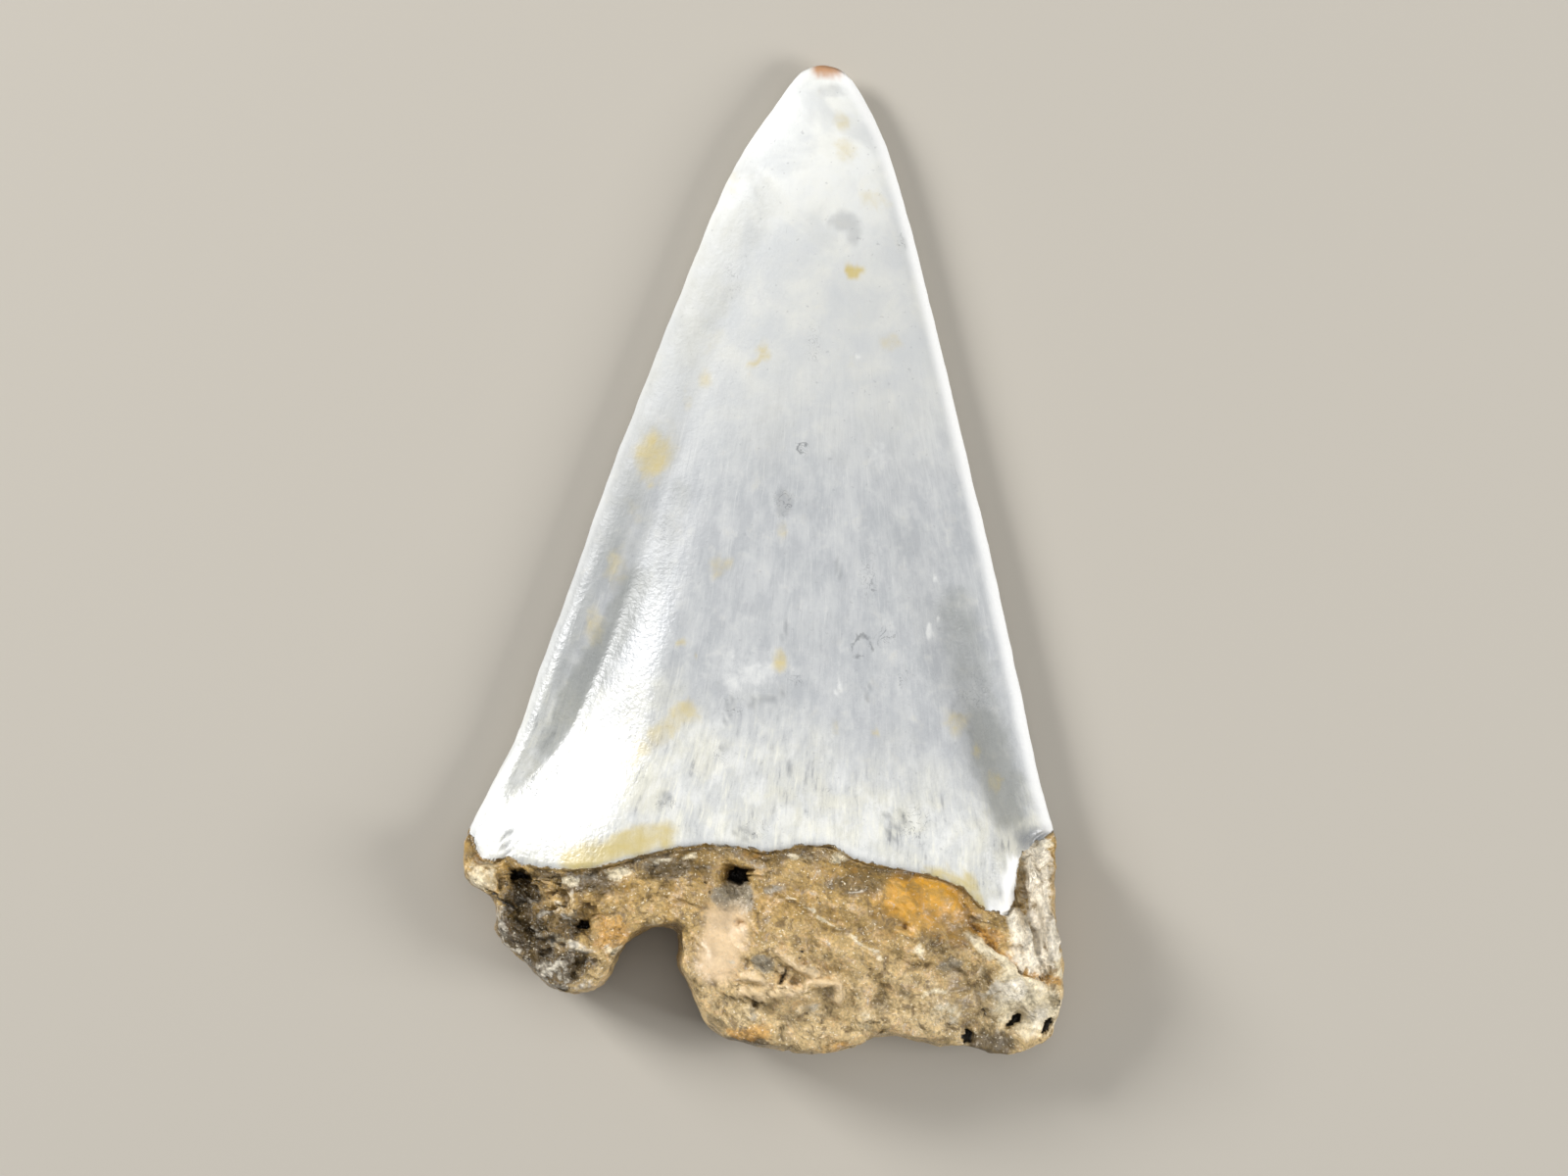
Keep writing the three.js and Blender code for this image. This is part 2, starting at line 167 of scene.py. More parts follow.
for border in (inner_border, outer_border):
    border_x, border_y = np.array(border).T
    inside.append(distance_to(border) * np.sign(y - np.interp(x, border_x, border_y)))
enamel = np.where(tilt_up > 0, inside[0], inside[1])
bare = ramp(0.0, 0.3, -enamel)

# How far each point lies from the cutting edges, and where it lies between them: 0 at the left edge and 1
# at the right one. The edges are found row by row, with a row for each millimetre of height.
edge_points = np.flatnonzero((np.abs(tilt_up) < 0.3) & (enamel > -0.5))
from_edge = distance_to_points(edge_points, places)
half_length = 32
rows = np.arange(-half_length, half_length + 1)
row = np.clip(np.round(y + half_length).astype(int), 0, 2 * half_length)
beyond = 99.0
left_side = np.full(len(rows), beyond)
right_side = np.full(len(rows), -beyond)
np.minimum.at(left_side, row, x)
np.maximum.at(right_side, row, x)
left_side = np.interp(y, rows, left_side)
right_side = np.interp(y, rows, right_side)
narrowest = 0.1
between = (x - left_side) / np.maximum(right_side - left_side, narrowest)

# How far each point of the root lies from the root's outline, seen from above.
rim_points = np.flatnonzero((np.abs(tilt_up) < 0.35) & (enamel < 0.2))
from_rim = distance_to_points(rim_points, np.stack([x, y, np.zeros(count)], axis=1))

# The crown: the enamel has slow waves, and small nicks along the cutting edges. Here and below, a number
# before grain or chips is a height in mm, and push is how far a point moves out along its normal.
waves = 0.035 * grain(4.5, 2, 1.6, 80) + 0.008 * grain(1.1, 2, 2.0, 80, 5)
nicks = 0.05 * grain(1.6, 3, 1, 0, 9) * ramp(0.6, 0.0, from_edge)
push = (waves + nicks) * ramp(0.0, 0.8, enamel)

# The root: sand and the sea have worn the dentine into fibres that run down to the right, with grains
# and pores. It is smoother in the groove under the nutrient hole, over the orange patch and the plain
# middle, on the knob at its left end and the broken fan at its right, and on the veins, which stand up
# where small vessels once ran.
fibre_turn = -58
groove = [(-2.4, -21.2), (-2.3, -23.2), (-2.9, -25.6)]
in_groove = ramp(1.9, 0.9, distance_to(groove)) * upward
patch = ramp(1.15, 0.6, in_oval(10.3, -21.6, 2.9, 1.9)) * upward
plain = 0.5 * ramp(1.2, 0.7, in_oval(5.0, -22.6, 4.8, 2.8)) * upward
veins = np.zeros(count)
for route, half_width in (
    ([(0.9, -24.9), (1.7, -25.4), (2.5, -25.9), (3.4, -26.8)], 0.28),
    ([(0.9, -27.6), (2.2, -27.4), (3.0, -26.9), (3.9, -26.75), (4.6, -26.9), (4.9, -27.4), (4.7, -28.2)],
     0.26),
    ([(-1.4, -26.3), (-0.1, -26.7), (0.2, -27.0), (-0.3, -27.4), (-1.0, -27.4), (-1.6, -27.5)], 0.24),
    ([(-1.6, -27.5), (-0.6, -27.8), (0.9, -27.6)], 0.24),
    ([(0.95, -26.5), (1.1, -27.0), (1.5, -27.1), (1.75, -26.6), (1.5, -26.1), (1.1, -26.1)], 0.14),
):
    veins = np.maximum(veins, upward * np.exp(-((distance_to(route, bent_x, bent_y) / half_width) ** 2)))
knob = 0.7 * ramp(-16.4, -17.6, x) * upward
fan = 0.75 * ramp(12.8, 15.0, x) * upward
calm = 1 - 0.8 * np.maximum.reduce([in_groove, plain, veins, 0.7 * patch, knob, fan])
in_lobe = ramp(-9.5, -13.0, x) * ramp(-17.5, -20.5, y)
coarse = 0.3 * grain(2.4, 2, 1.5, -50, 7)
fibres = 0.13 * grain(0.8, 3, 1.5, fibre_turn) + 0.05 * grain(0.4, 2, 1.3, fibre_turn + 3, 3)
broken = 0.6 * chips(1.6, 1.3, fibre_turn) + 0.34 * chips(0.75, 1.2, fibre_turn + 3, 9)
swirls = 1 - np.abs(grain(1.5, 3, 1.7, -35, 12)) * 2.4
rough = coarse + (fibres + broken * (1 + in_lobe)) * calm + 0.34 * swirls * in_lobe * upward
rough += 0.5 * veins
scatter = np.random.default_rng(11)
pores_a_side = 130
pores = np.zeros(count)
for side in (upward, downward):
    for _ in range(pores_a_side):
        pore_x, pore_y = scatter.uniform(-19, 18.5), scatter.uniform(-32, -18)
        wide, tall = scatter.uniform(0.12, 0.3, 2)
        opened = ramp(1.3, 0.3, in_oval(pore_x, pore_y, wide, tall))
        pores = np.maximum(pores, side * opened * scatter.uniform(0.06, 0.28))
push += bare * (rough * (0.25 + 0.75 * ramp(0.0, 1.3, from_rim)) - pores * calm)
push += 0.13 * grain(0.9, 2, 1, 0, 27) * bare * ramp(0.7, 0.0, from_rim)


# The root is broken off sharply along most of its outline, and rounded only here and there.
def rounding(radius):
    """How far a rounded rim falls away, by the distance from its outline."""
    return radius - np.sqrt(radius ** 2 - np.clip(radius - from_rim, 0, radius) ** 2)


broken_off = 0.4 + 0.6 * ramp(-0.4, 0.3, grain(2.5, 2, 1, 0, 17))
lift = (rounding(1.5) - rounding(0.4)) * broken_off * upward * bare

# Ridges stand up from the root and cracks run into it: each is a route, a half width and a height or
# depth. Deeper cracks are painted darker, partly as dirt and partly as painted shade in their depth. The
# named routes are coloured too.
lobe_ridge = [(-14.4, -24.0), (-12.9, -24.2), (-11.4, -25.0)]
long_vein = [(1.6, -21.7), (2.4, -21.8), (3.4, -22.6), (4.7, -23.5), (6.7, -24.7), (7.7, -25.5)]
low_vein = [(10.2, -27.8), (10.7, -27.4), (11.5, -27.4)]
swept_ridge = [(13.0, -23.8), (14.6, -25.3), (16.4, -26.7), (17.7, -27.3)]
swept_crack = [(13.2, -23.2), (14.8, -24.7), (16.3, -26.2), (17.9, -26.9), (19.0, -26.9)]
corner_ridge = [(16.9, -23.6), (17.1, -24.6), (17.2, -25.9)]
short_ridge = [(15.9, -23.1), (16.0, -24.0)]
ridges = [
    (lobe_ridge, 0.28, 0.24),
    ([(-15.4, -22.6), (-15.7, -24.2), (-14.8, -25.4)], 0.35, 0.2),
    ([(-13.9, -26.8), (-12.9, -27.2), (-11.2, -27.1)], 0.35, 0.2),
    (swept_ridge, 0.3, 0.36),
    ([(9.4, -24.1), (10.1, -25.3)], 0.28, 0.16),
    ([(12.4, -23.3), (13.0, -24.2)], 0.28, 0.14),
    (corner_ridge, 0.4, 0.5),
    (short_ridge, 0.45, 0.4),
    ([(18.2, -23.2), (18.4, -24.4), (18.4, -25.4)], 0.4, 0.3),
    ([(17.1, -19.4), (17.5, -21.4), (18.2, -22.9)], 0.35, 0.35),
    ([(18.2, -18.4), (18.3, -20.6)], 0.3, 0.25),
    ([(12.0, -27.0), (13.4, -26.7)], 0.3, 0.16),
    (long_vein, 0.2, 0.18),
    (low_vein, 0.22, 0.16),
    ([(16.7, -28.6), (17.4, -28.2), (17.6, -29.4), (16.9, -30.2)], 0.3, 0.18),
]
cracks = [
    ([(-17.6, -21.5), (-16.6, -22.0), (-15.9, -22.4)], 0.22, 0.35),
    ([(-13.0, -20.5), (-13.2, -21.1), (-13.8, -21.8)], 0.13, 0.3),
    ([(-13.5, -21.8), (-13.3, -22.6), (-12.6, -23.3), (-11.9, -23.7)], 0.16, 0.25),
    ([(-14.6, -24.4), (-12.9, -24.7), (-11.5, -25.5)], 0.22, 0.16),
    ([(2.1, -24.8), (2.4, -25.3)], 0.14, 0.4),
    ([(2.4, -27.0), (3.6, -26.5), (4.6, -26.6)], 0.13, 0.22),
    (swept_crack, 0.13, 0.28),
    ([(16.4, -18.9), (16.4, -20.8), (17.2, -22.3), (17.7, -24.3), (17.9, -26.4)], 0.16, 0.18),
    ([(17.7, -19.6), (18.1, -21.8), (18.4, -23.0)], 0.14, 0.2),
    ([(14.3, -29.0), (14.3, -29.5)], 0.12, 0.35),
    ([(9.5, -28.7), (9.7, -29.2)], 0.14, 0.3),
    ([(-4.0, -20.0), (-3.7, -20.6)], 0.15, 0.3),
    ([(-3.6, -21.0), (-3.5, -21.5)], 0.13, 0.35),
    ([(5.2, -30.8), (4.4, -30.9)], 0.14, 0.3),
    ([(11.0, -26.4), (12.4, -26.2)], 0.25, 0.14),
]
for route, half_width, height in ridges:
    away = distance_to(route, bent_x, bent_y)
    push += height * np.exp(-((away / half_width) ** 2)) * upward * bare
dark_lines = np.zeros(count)
for route, half_width, depth in cracks:
    away = distance_to(route, bent_x, bent_y)
    cut = np.exp(-((away / half_width) ** 2)) * upward * bare
    push -= depth * cut
    darkness = min(0.75, depth * 2)
    dark_lines = np.maximum(dark_lines, cut * darkness)

# Pits and bored holes, sunk straight down: centre, half width, half height, turn in degrees and depth.
# The largest is the nutrient hole, where a vessel once entered the root.
pits = [
    (-1.6, -20.1, 0.84, 0.54, -8, 2.4),
    (-15.8, -20.15, 0.6, 0.42, 15, 1.2),
    (-15.2, -21.4, 0.9, 0.8, -40, 0.5),
    (-11.5, -23.4, 0.34, 0.42, -35, 0.9),
    (-13.8, -25.1, 0.4, 0.25, 0, 0.5),
    (-12.2, -26.5, 0.2, 0.2, 0, 0.5),
    (-1.5, -23.1, 0.15, 0.22, -30, 0.5),
    (1.3, -26.4, 0.26, 0.5, -8, 0.7),
    (-0.6, -28.3, 0.18, 0.26, -15, 0.6),
    (2.6, -25.6, 0.14, 0.14, 0, 0.4),
    (9.0, -23.3, 0.18, 0.18, 0, 0.5),
    (7.5, -30.0, 0.15, 0.15, 0, 0.4),
    (16.1, -29.55, 0.6, 0.26, 35, 1.3),
    (18.2, -30.0, 0.26, 0.42, -25, 0.8),
    (18.5, -28.3, 0.45, 0.3, -20, 0.4),
    (13.1, -30.5, 0.25, 0.42, -20, 0.9),
    (16.2, -26.4, 0.22, 0.18, -30, 0.6),
]
# The deeper a pit, the blacker it is painted: painted shade in its depth.
pit_shade = np.zeros(count)
sink = np.zeros(count)
squareness = 2.6
wobble = 0.2 * grain(0.7, 3, 1, 0, 21)
for pit_x, pit_y, half_width, half_height, turn, depth in pits:
    turn = math.radians(turn)
    across = (x - pit_x) * math.cos(turn) + (y - pit_y) * math.sin(turn)
    up = (y - pit_y) * math.cos(turn) - (x - pit_x) * math.sin(turn)
    reach = np.abs(across / half_width) ** squareness + np.abs(up / half_height) ** squareness
    reach = reach ** (1 / squareness) + wobble / min(half_width, half_height)
    opened = ramp(1.12, 0.8, reach) * upward * bare
    sink = np.maximum(sink, opened * depth)
    pit_shade = np.maximum(pit_shade, ramp(0.3, 0.75, opened) * ramp(0.2, 1.0, depth))

places += facing * push[:, None]
places[:, 2] += lift - sink
places[:, 2] = np.maximum(places[:, 2], 0)
mesh.vertices.foreach_set("co", (places / mm_per_metre).ravel())
mesh.update()


# The marks on the tooth, by place. Rust from the ground has stained both enamel and dentine, and grey and
# chalky spots lie in the enamel. Some grey marks are painted shade: streaks down the two troughs, a broad
# one over the middle of the base and one below the tip. One broad chalky mark at the right of the base is
# painted light.
# A mark is full up to a share of its half width and gone a little past it.
full_within = 0.35
gone_beyond = 1.35


def blot(marks):
    """Oval marks on the inner face, each as its centre, half width, half height and strength."""
    total = np.zeros(count)
    for mark_x, mark_y, half_width, half_height, strength in marks:
        reach = in_oval(mark_x, mark_y, half_width, half_height, bent_x, bent_y)
        total = np.maximum(total, strength * ramp(gone_beyond, full_within, reach))
    return total * upward


def streak(marks):
    """Long marks on the inner face, each as its route, half width and strength."""
    total = np.zeros(count)
    for route, half_width, strength in marks:
        reach = distance_to(route, bent_x, bent_y) / half_width
        total = np.maximum(total, strength * ramp(gone_beyond, full_within, reach))
    return total * upward


ochre = blot([
    (-7.2, 6.9, 1.4, 1.6, 0.8), (-7.4, 5.0, 0.6, 0.5, 0.6), (5.7, 18.6, 0.8, 0.5, 1.3),
    (0.0, 13.2, 0.6, 0.7, 0.7), (-0.8, 12.5, 0.7, 0.4, 0.7), (-3.7, 11.6, 0.5, 0.7, 0.5),
    (7.1, 23.2, 1.1, 0.8, 0.5), (5.2, 26.4, 0.9, 1.0, 0.5), (5.0, 28.2, 0.7, 0.7, 0.45),
    (-3.2, 14.2, 0.6, 0.8, 0.3), (8.2, 14.0, 0.8, 0.8, 0.35), (-2.1, 24.6, 0.9, 1.1, 0.3),
    (-2.8, -0.4, 0.9, 0.9, 0.55), (-5.3, -5.2, 0.25, 0.22, 0.7), (-4.3, -6.1, 0.2, 0.2, 0.6),
    (1.0, -6.5, 0.6, 0.8, 0.8), (7.2, -10.9, 0.3, 0.4, 0.6), (1.2, 2.0, 0.4, 0.8, 0.4),
    (-5.0, 10.4, 0.35, 0.9, 0.35), (6.0, 12.8, 1.0, 0.5, 0.3), (12.4, -10.4, 1.0, 0.9, 0.5),
    (13.7, -12.3, 0.4, 0.7, 0.5), (14.9, -14.3, 0.6, 0.8, 0.55), (-9.5, -0.6, 0.9, 1.8, 0.45),
    (-10.9, -4.4, 0.7, 1.5, 0.45), (-8.4, 3.2, 0.8, 1.2, 0.3), (4.6, -10.7, 0.4, 0.7, 0.35),
    (-8.6, -13.0, 0.9, 0.45, 0.5),
]) + streak([
    ([(-4.8, -9.6), (-6.2, -10.7), (-7.8, -12.0)], 0.8, 0.6),
    ([(-12.4, -19.3), (-10.2, -18.7), (-8.2, -18.0), (-6.3, -17.5)], 1.0, 0.95),
    ([(10.6, -19.9), (11.8, -20.2), (12.9, -20.7), (14.0, -21.8)], 0.6, 0.9),
])
grey_and_shade = blot([
    (8.9, 20.8, 0.25, 0.6, 0.4), (1.3, 3.7, 0.7, 0.9, 1.1), (6.4, -5.6, 0.9, 0.9, 0.3),
    (7.0, -9.0, 1.2, 1.6, 0.2), (-1.8, -9.4, 0.4, 0.8, 0.55), (-2.3, -9.0, 1.0, 0.35, 0.35),
    (-6.2, -15.5, 0.5, 0.5, 0.7), (8.4, -17.0, 0.8, 0.7, 0.75), (7.8, -18.2, 0.5, 0.4, 0.5),
    (1.4, 12.0, 0.7, 3.0, 0.3), (-0.9, -17.4, 0.6, 0.4, 0.5), (-2.1, -12.0, 0.4, 0.4, 0.4),
    (12.6, -7.5, 1.8, 2.2, 0.2), (4.6, 30.3, 1.2, 0.8, 0.8), (5.3, 21.8, 1.3, 0.8, 0.95),
    (5.8, 21.0, 0.7, 0.9, 0.85), (-0.5, 6.0, 2.0, 3.5, 0.25), (4.8, -1.8, 0.6, 1.6, 0.35),
    (-0.5, -14.5, 4.5, 2.5, 0.35), (0.6, 8.5, 1.2, 2.2, 0.4), (3.2, -5.2, 1.6, 2.2, 0.4),
    (-5.2, -3.6, 1.0, 1.6, 0.35), (6.0, 6.5, 1.2, 2.0, 0.25),
])
# Painted shade: grey streaks down the troughs beside the dome.
grey_and_shade = np.maximum(grey_and_shade, streak([
    ([(13.0, -10.0), (13.9, -12.6), (15.0, -15.2), (15.6, -16.6)], 1.2, 0.75),
    ([(-9.6, -4.6), (-11.6, -9.0), (-13.6, -12.3)], 0.9, 0.6),
    ([(-5.6, 9.0), (-7.6, 3.4), (-9.2, -2.0)], 0.9, 0.3),
]))
# Chalky spots, and one broad mark at the right of the base that is painted light.
chalk_and_painted_light = blot([
    (-0.8, -7.2, 2.9, 1.7, 0.55), (6.1, 13.2, 0.4, 0.3, 0.8), (1.0, -0.3, 0.22, 0.22, 0.9),
    (7.5, 7.0, 1.0, 0.7, 0.4), (-17.0, -18.3, 0.8, 0.6, 0.6), (11.8, -17.4, 2.4, 2.2, 0.45),
])
chalk_and_painted_light = np.maximum(chalk_and_painted_light, streak([
    ([(10.6, -4.9), (10.8, -4.2), (11.3, -3.7)], 0.16, 1.0), ([(4.8, -6.9), (4.6, -8.6)], 0.12, 0.7),
    ([(-8.9, -11.4), (-8.9, -12.6)], 0.12, 0.8), ([(11.0, -1.4), (11.2, -1.0)], 0.12, 0.8),
]))

# Small dark marks are etched into the enamel: places that hold a scribble of hair-thin curls, two small
# rings, each given as its centre, its radius and the radius of the spot that holds it, and ticks and loops.
scribbles = blot([
    (-2.0, -9.3, 0.9, 0.9, 1.0), (1.9, -7.6, 0.6, 0.4, 0.9), (8.9, -7.6, 0.25, 0.6, 0.9),
    (4.1, -14.6, 0.3, 0.4, 0.7), (-6.2, -15.5, 0.7, 0.5, 1.0), (6.7, -1.0, 0.5, 1.8, 0.7),
    (7.9, -4.9, 0.7, 0.7, 1.0), (9.6, -16.9, 1.2, 1.1, 1.0), (-0.6, -17.2, 0.9, 0.6, 1.0),
    (-2.8, -12.5, 0.6, 0.6, 0.8), (8.9, 20.8, 0.4, 0.8, 0.8), (1.3, 3.7, 0.7, 0.8, 1.0),
    (2.4, 7.2, 0.4, 0.5, 1.0), (-16.3, -17.6, 1.6, 0.9, 0.8), (13.5, -8.5, 1.5, 1.5, 0.5),
    (3.2, 14.0, 0.5, 1.5, 0.6), (-2.0, 18.0, 0.6, 1.2, 0.5), (-6.5, 2.0, 0.6, 1.2, 0.5),
])
ring_places = ((2.4, 7.1, 0.35, 0.9), (6.25, -5.55, 0.6, 1.2))
ring_spots = blot([(ring_x, ring_y, spot, spot, 1.0) for ring_x, ring_y, radius, spot in ring_places])
ink = streak([
    ([(7.6, -16.4), (8.2, -16.1), (8.9, -16.3), (9.0, -16.8), (8.4, -17.0), (7.9, -17.4), (8.5, -17.8),
      (7.5, -18.0)], 0.15, 1.0),
    ([(-2.0, -8.9), (-2.4, -9.5), (-2.1, -10.1), (-2.5, -10.5)], 0.14, 0.9),
    ([(-0.9, -9.2), (0.2, -8.9), (1.2, -8.6), (1.5, -8.3)], 0.14, 0.7),
    ([(-6.6, -14.9), (-6.1, -15.2), (-6.5, -15.8)], 0.18, 0.9),
    ([(-1.9, -17.4), (-1.3, -17.2), (-0.7, -17.5), (-1.2, -17.9)], 0.15, 0.9),
    ([(1.6, -13.1), (1.6, -13.6)], 0.13, 1.0), ([(6.9, -7.9), (6.8, -8.9)], 0.12, 1.0),
    ([(4.6, 0.2), (4.8, -0.9)], 0.12, 0.8), ([(1.4, -3.8), (1.5, -5.2)], 0.12, 0.8),
    ([(-2.8, -12.0), (-2.2, -12.2)], 0.14, 0.8), ([(6.5, -12.0), (6.4, -13.2)], 0.1, 0.8),
    ([(12.0, -9.6), (13.2, -10.4), (13.4, -11.2)], 0.12, 0.7), ([(9.3, 21.2), (9.0, 20.0)], 0.14, 0.8),
    ([(-16.9, -17.0), (-16.4, -17.5), (-16.8, -18.1), (-16.3, -18.6)], 0.16, 1.2),
])

# Painted shade and painted light: the two troughs beside the dome and bands down the left flank are
# darkened where shade falls, and the cutting edges and the lower right hem are painted white, for light
# caught on them and glowing through.
shade = streak([
    ([(-8.1, -1.4), (-9.2, -3.9), (-11.3, -7.3), (-12.8, -9.8)], 1.2, 1.05),
    ([(-11.3, -7.3), (-13.9, -12.0)], 1.0, 0.9), ([(-13.9, -12.0), (-15.5, -14.8)], 0.6, 0.6),
    ([(-5.4, 4.5), (-6.5, 0.5), (-7.4, -3.5)], 1.0, 0.45),
    ([(12.3, -3.0), (13.2, -6.5), (14.2, -10.5)], 1.6, 0.6), ([(14.2, -10.5), (15.6, -16.0)], 1.5, 0.9),
    ([(-5.6, 9.0), (-7.6, 3.4), (-8.6, -0.5)], 1.0, 0.35),
    ([(-0.9, 23.0), (-3.2, 18.5), (-5.5, 13.0), (-7.6, 8.0)], 2.4, 0.4),
    ([(-7.6, 8.0), (-9.7, 3.0), (-12.2, -3.0), (-14.8, -9.0), (-17.0, -13.6)], 1.9, 0.6),
])
# Painted edge light: a little on the left edge and more below the middle, more on the right edge, and a
# painted highlight down the lower right hem.
left_edge_light = ramp(1.0, 0.1, from_edge) * (0.2 + 0.2 * ramp(12.0, 4.0, y))
painted_edge_light = np.where(between < 0.5, left_edge_light, ramp(1.3, 0.4, from_edge))
painted_edge_light = np.maximum(painted_edge_light, streak([([(15.9, -19.3), (15.75, -20.8), (15.5, -22.4)], 0.4, 1.2)]))

# The tip is worn through to brown dentine, and the right corner of the enamel is a small grey facet.
worn_tip = ramp(30.9, 31.6, y + waver * bend) * ramp(1.3, 0.6, np.abs(x - 4.1))
facet = blot([(17.3, -17.8, 1.2, 0.9, 1.0)]) * ramp(-0.1, 0.15, enamel)

# The dentine's patches: pink in the groove, orange rust, slate grey, cream, partly painted light along
# ridge crests, gold, the dark left lobe, olive, partly the dentine's own and partly painted shade under the
# enamel's edge and at the undercut lower rim, painted silver highlights on broken places and in the lobe,
# and the soot in pits and cracks, partly dirt and partly painted shade.
pink = in_groove * ramp(-21.3, -22.7, y)
orange = np.maximum(blot([
    (10.3, -21.9, 3.6, 2.2, 0.9), (9.0, -20.8, 1.8, 0.9, 0.8), (12.4, -23.4, 1.8, 1.5, 0.5),
    (8.6, -23.4, 1.6, 1.0, 0.4),
]), streak([
    ([(8.9, -20.7), (10.2, -20.5), (11.2, -20.9)], 0.45, 1.1),
])) * bare
slate = blot([
    (-0.1, -25.7, 0.85, 0.8, 1.1), (2.9, -26.1, 0.4, 0.3, 0.8), (0.5, -21.0, 0.6, 0.4, 0.6),
    (7.5, -28.3, 0.6, 0.4, 0.6), (9.0, -27.9, 0.5, 0.5, 0.6), (12.0, -25.9, 1.0, 0.8, 0.75),
    (-1.9, -21.5, 1.4, 1.2, 1.6), (13.6, -22.9, 0.7, 0.5, 0.6), (7.5, -30.2, 0.8, 0.3, 0.5),
    (11.4, -28.7, 0.9, 0.4, 0.5), (-6.9, -19.2, 1.8, 0.4, 0.6), (-11.5, -20.3, 1.4, 0.35, 0.5),
])
cream_and_ridge_light = blot([
    (-18.4, -20.6, 0.9, 1.5, 0.75), (-12.4, -22.2, 0.9, 0.9, 0.5), (-6.6, -23.1, 1.0, 0.8, 0.5),
    (17.0, -28.7, 2.6, 2.2, 1.1), (17.9, -18.4, 0.6, 0.6, 0.9), (1.9, -18.9, 0.35, 0.4, 0.8),
    (4.8, -19.0, 0.7, 0.4, 0.9), (9.8, -24.7, 0.35, 0.6, 0.9), (-9.3, -20.1, 0.9, 0.4, 0.9),
    (-12.4, -20.5, 0.8, 0.3, 0.9), (-6.2, -19.2, 0.9, 0.3, 0.8), (-4.6, -18.9, 0.6, 0.25, 0.7),
    (8.4, -20.6, 0.6, 0.25, 0.6), (2.6, -18.9, 0.5, 0.25, 0.7), (-1.0, -29.0, 1.1, 0.8, 0.5),
    (14.5, -26.5, 1.0, 0.6, 0.5), (6.5, -29.3, 0.8, 0.8, 0.5), (11.5, -29.0, 1.6, 1.0, 0.5),
    (3.0, -28.8, 1.2, 0.8, 0.4), (-18.0, -20.2, 1.4, 1.2, 0.6), (-2.9, -25.3, 1.2, 1.1, 0.8),
    (15.2, -27.6, 2.0, 1.0, 0.5), (-9.5, -24.9, 0.9, 0.4, 0.8),
])
# Cream along the crests of ridges and veins, partly painted light caught on them.
cream_and_ridge_light = np.maximum(cream_and_ridge_light, streak([
    (long_vein, 0.1, 0.75), (low_vein, 0.25, 0.8), (lobe_ridge, 0.25, 0.7),
    (swept_ridge, 0.35, 1.0), (corner_ridge, 0.4, 1.0), (short_ridge, 0.5, 1.0),
    ([(16.4, -19.4), (16.3, -22.0)], 0.5, 0.6), ([(18.3, -23.4), (18.6, -24.8), (18.8, -26.4)], 0.4, 0.9),
    ([(15.8, -26.6), (17.4, -28.6)], 0.9, 0.9),
]))
gold = blot([
    (-9.6, -23.9, 1.5, 1.6, 0.8), (-16.4, -23.6, 0.25, 0.7, 0.8), (4.9, -31.2, 2.0, 0.5, 0.7),
    (-18.4, -19.3, 0.4, 0.5, 0.9), (14.4, -23.9, 1.2, 0.6, 0.5), (-1.0, -30.2, 1.8, 0.6, 1.0),
    (5.9, -19.9, 0.9, 0.6, 0.5), (-0.7, -18.9, 0.8, 0.3, 0.5),
])
gold = np.maximum(gold, streak([
    (swept_crack, 0.3, 1.0),
    ([(2.2, -27.2), (3.0, -26.7), (4.0, -26.5), (4.7, -26.6)], 0.14, 1.0),
]))
lobe = blot([
    (-15.4, -21.4, 1.5, 1.1, 1.0), (-15.4, -23.8, 3.0, 2.2, 0.85), (-13.6, -26.0, 2.8, 2.0, 0.8),
    (-12.4, -23.4, 1.4, 1.2, 0.7),
])
# Painted shade under the enamel's overhanging edge, and olive patches, some of them painted shade in the
# undercut lower rim.
olive_and_shade = bare * ramp(1.5, 0.2, -enamel) * upward * ramp(-17.2, -15.5, x) * ramp(15.0, 12.5, x)
olive_and_shade = np.maximum(0.75 * olive_and_shade, blot([
    (-11.3, -20.6, 2.4, 1.0, 0.9), (-6.0, -19.5, 3.2, 1.0, 0.9), (6.0, -20.6, 2.8, 1.0, 0.7),
    (11.5, -24.3, 2.2, 1.2, 0.6), (1.5, -20.5, 1.5, 1.0, 0.4), (14.6, -31.0, 2.2, 1.0, 1.0),
    (12.6, -28.6, 2.0, 2.2, 0.5), (-1.2, -30.9, 2.2, 0.5, 1.0),
]))
# Painted highlights: silvery streaks and spots where the broken fan and the dark lobe catch the light.
painted_silver_highlights = np.maximum(streak([
    ([(18.2, -23.2), (18.6, -25.4)], 0.4, 1.2), ([(16.3, -22.7), (16.7, -24.2), (17.2, -26.0)], 0.5, 1.4),
    ([(-14.8, -23.8), (-13.6, -24.3), (-12.4, -24.7), (-11.2, -24.9)], 0.4, 0.5),
    ([(-17.0, -22.4), (-16.6, -24.4)], 0.4, 0.35), ([(-15.3, -21.9), (-14.2, -22.8)], 0.5, 0.3),
    ([(-13.2, -22.0), (-12.6, -22.9)], 0.4, 0.45), ([(-12.0, -27.4), (-10.6, -26.6)], 0.4, 0.35),
    ([(17.4, -18.4), (17.6, -21.0), (17.9, -26.0)], 1.0, 0.85),
    ([(15.9, -22.8), (16.4, -25.6)], 0.7, 0.8),
]), blot([
    (-13.5, -26.4, 1.4, 1.2, 0.45), (15.8, -27.4, 1.8, 0.9, 0.8), (17.6, -29.4, 0.8, 1.0, 0.6),
    (-16.0, -25.0, 0.5, 0.3, 0.7),
]))
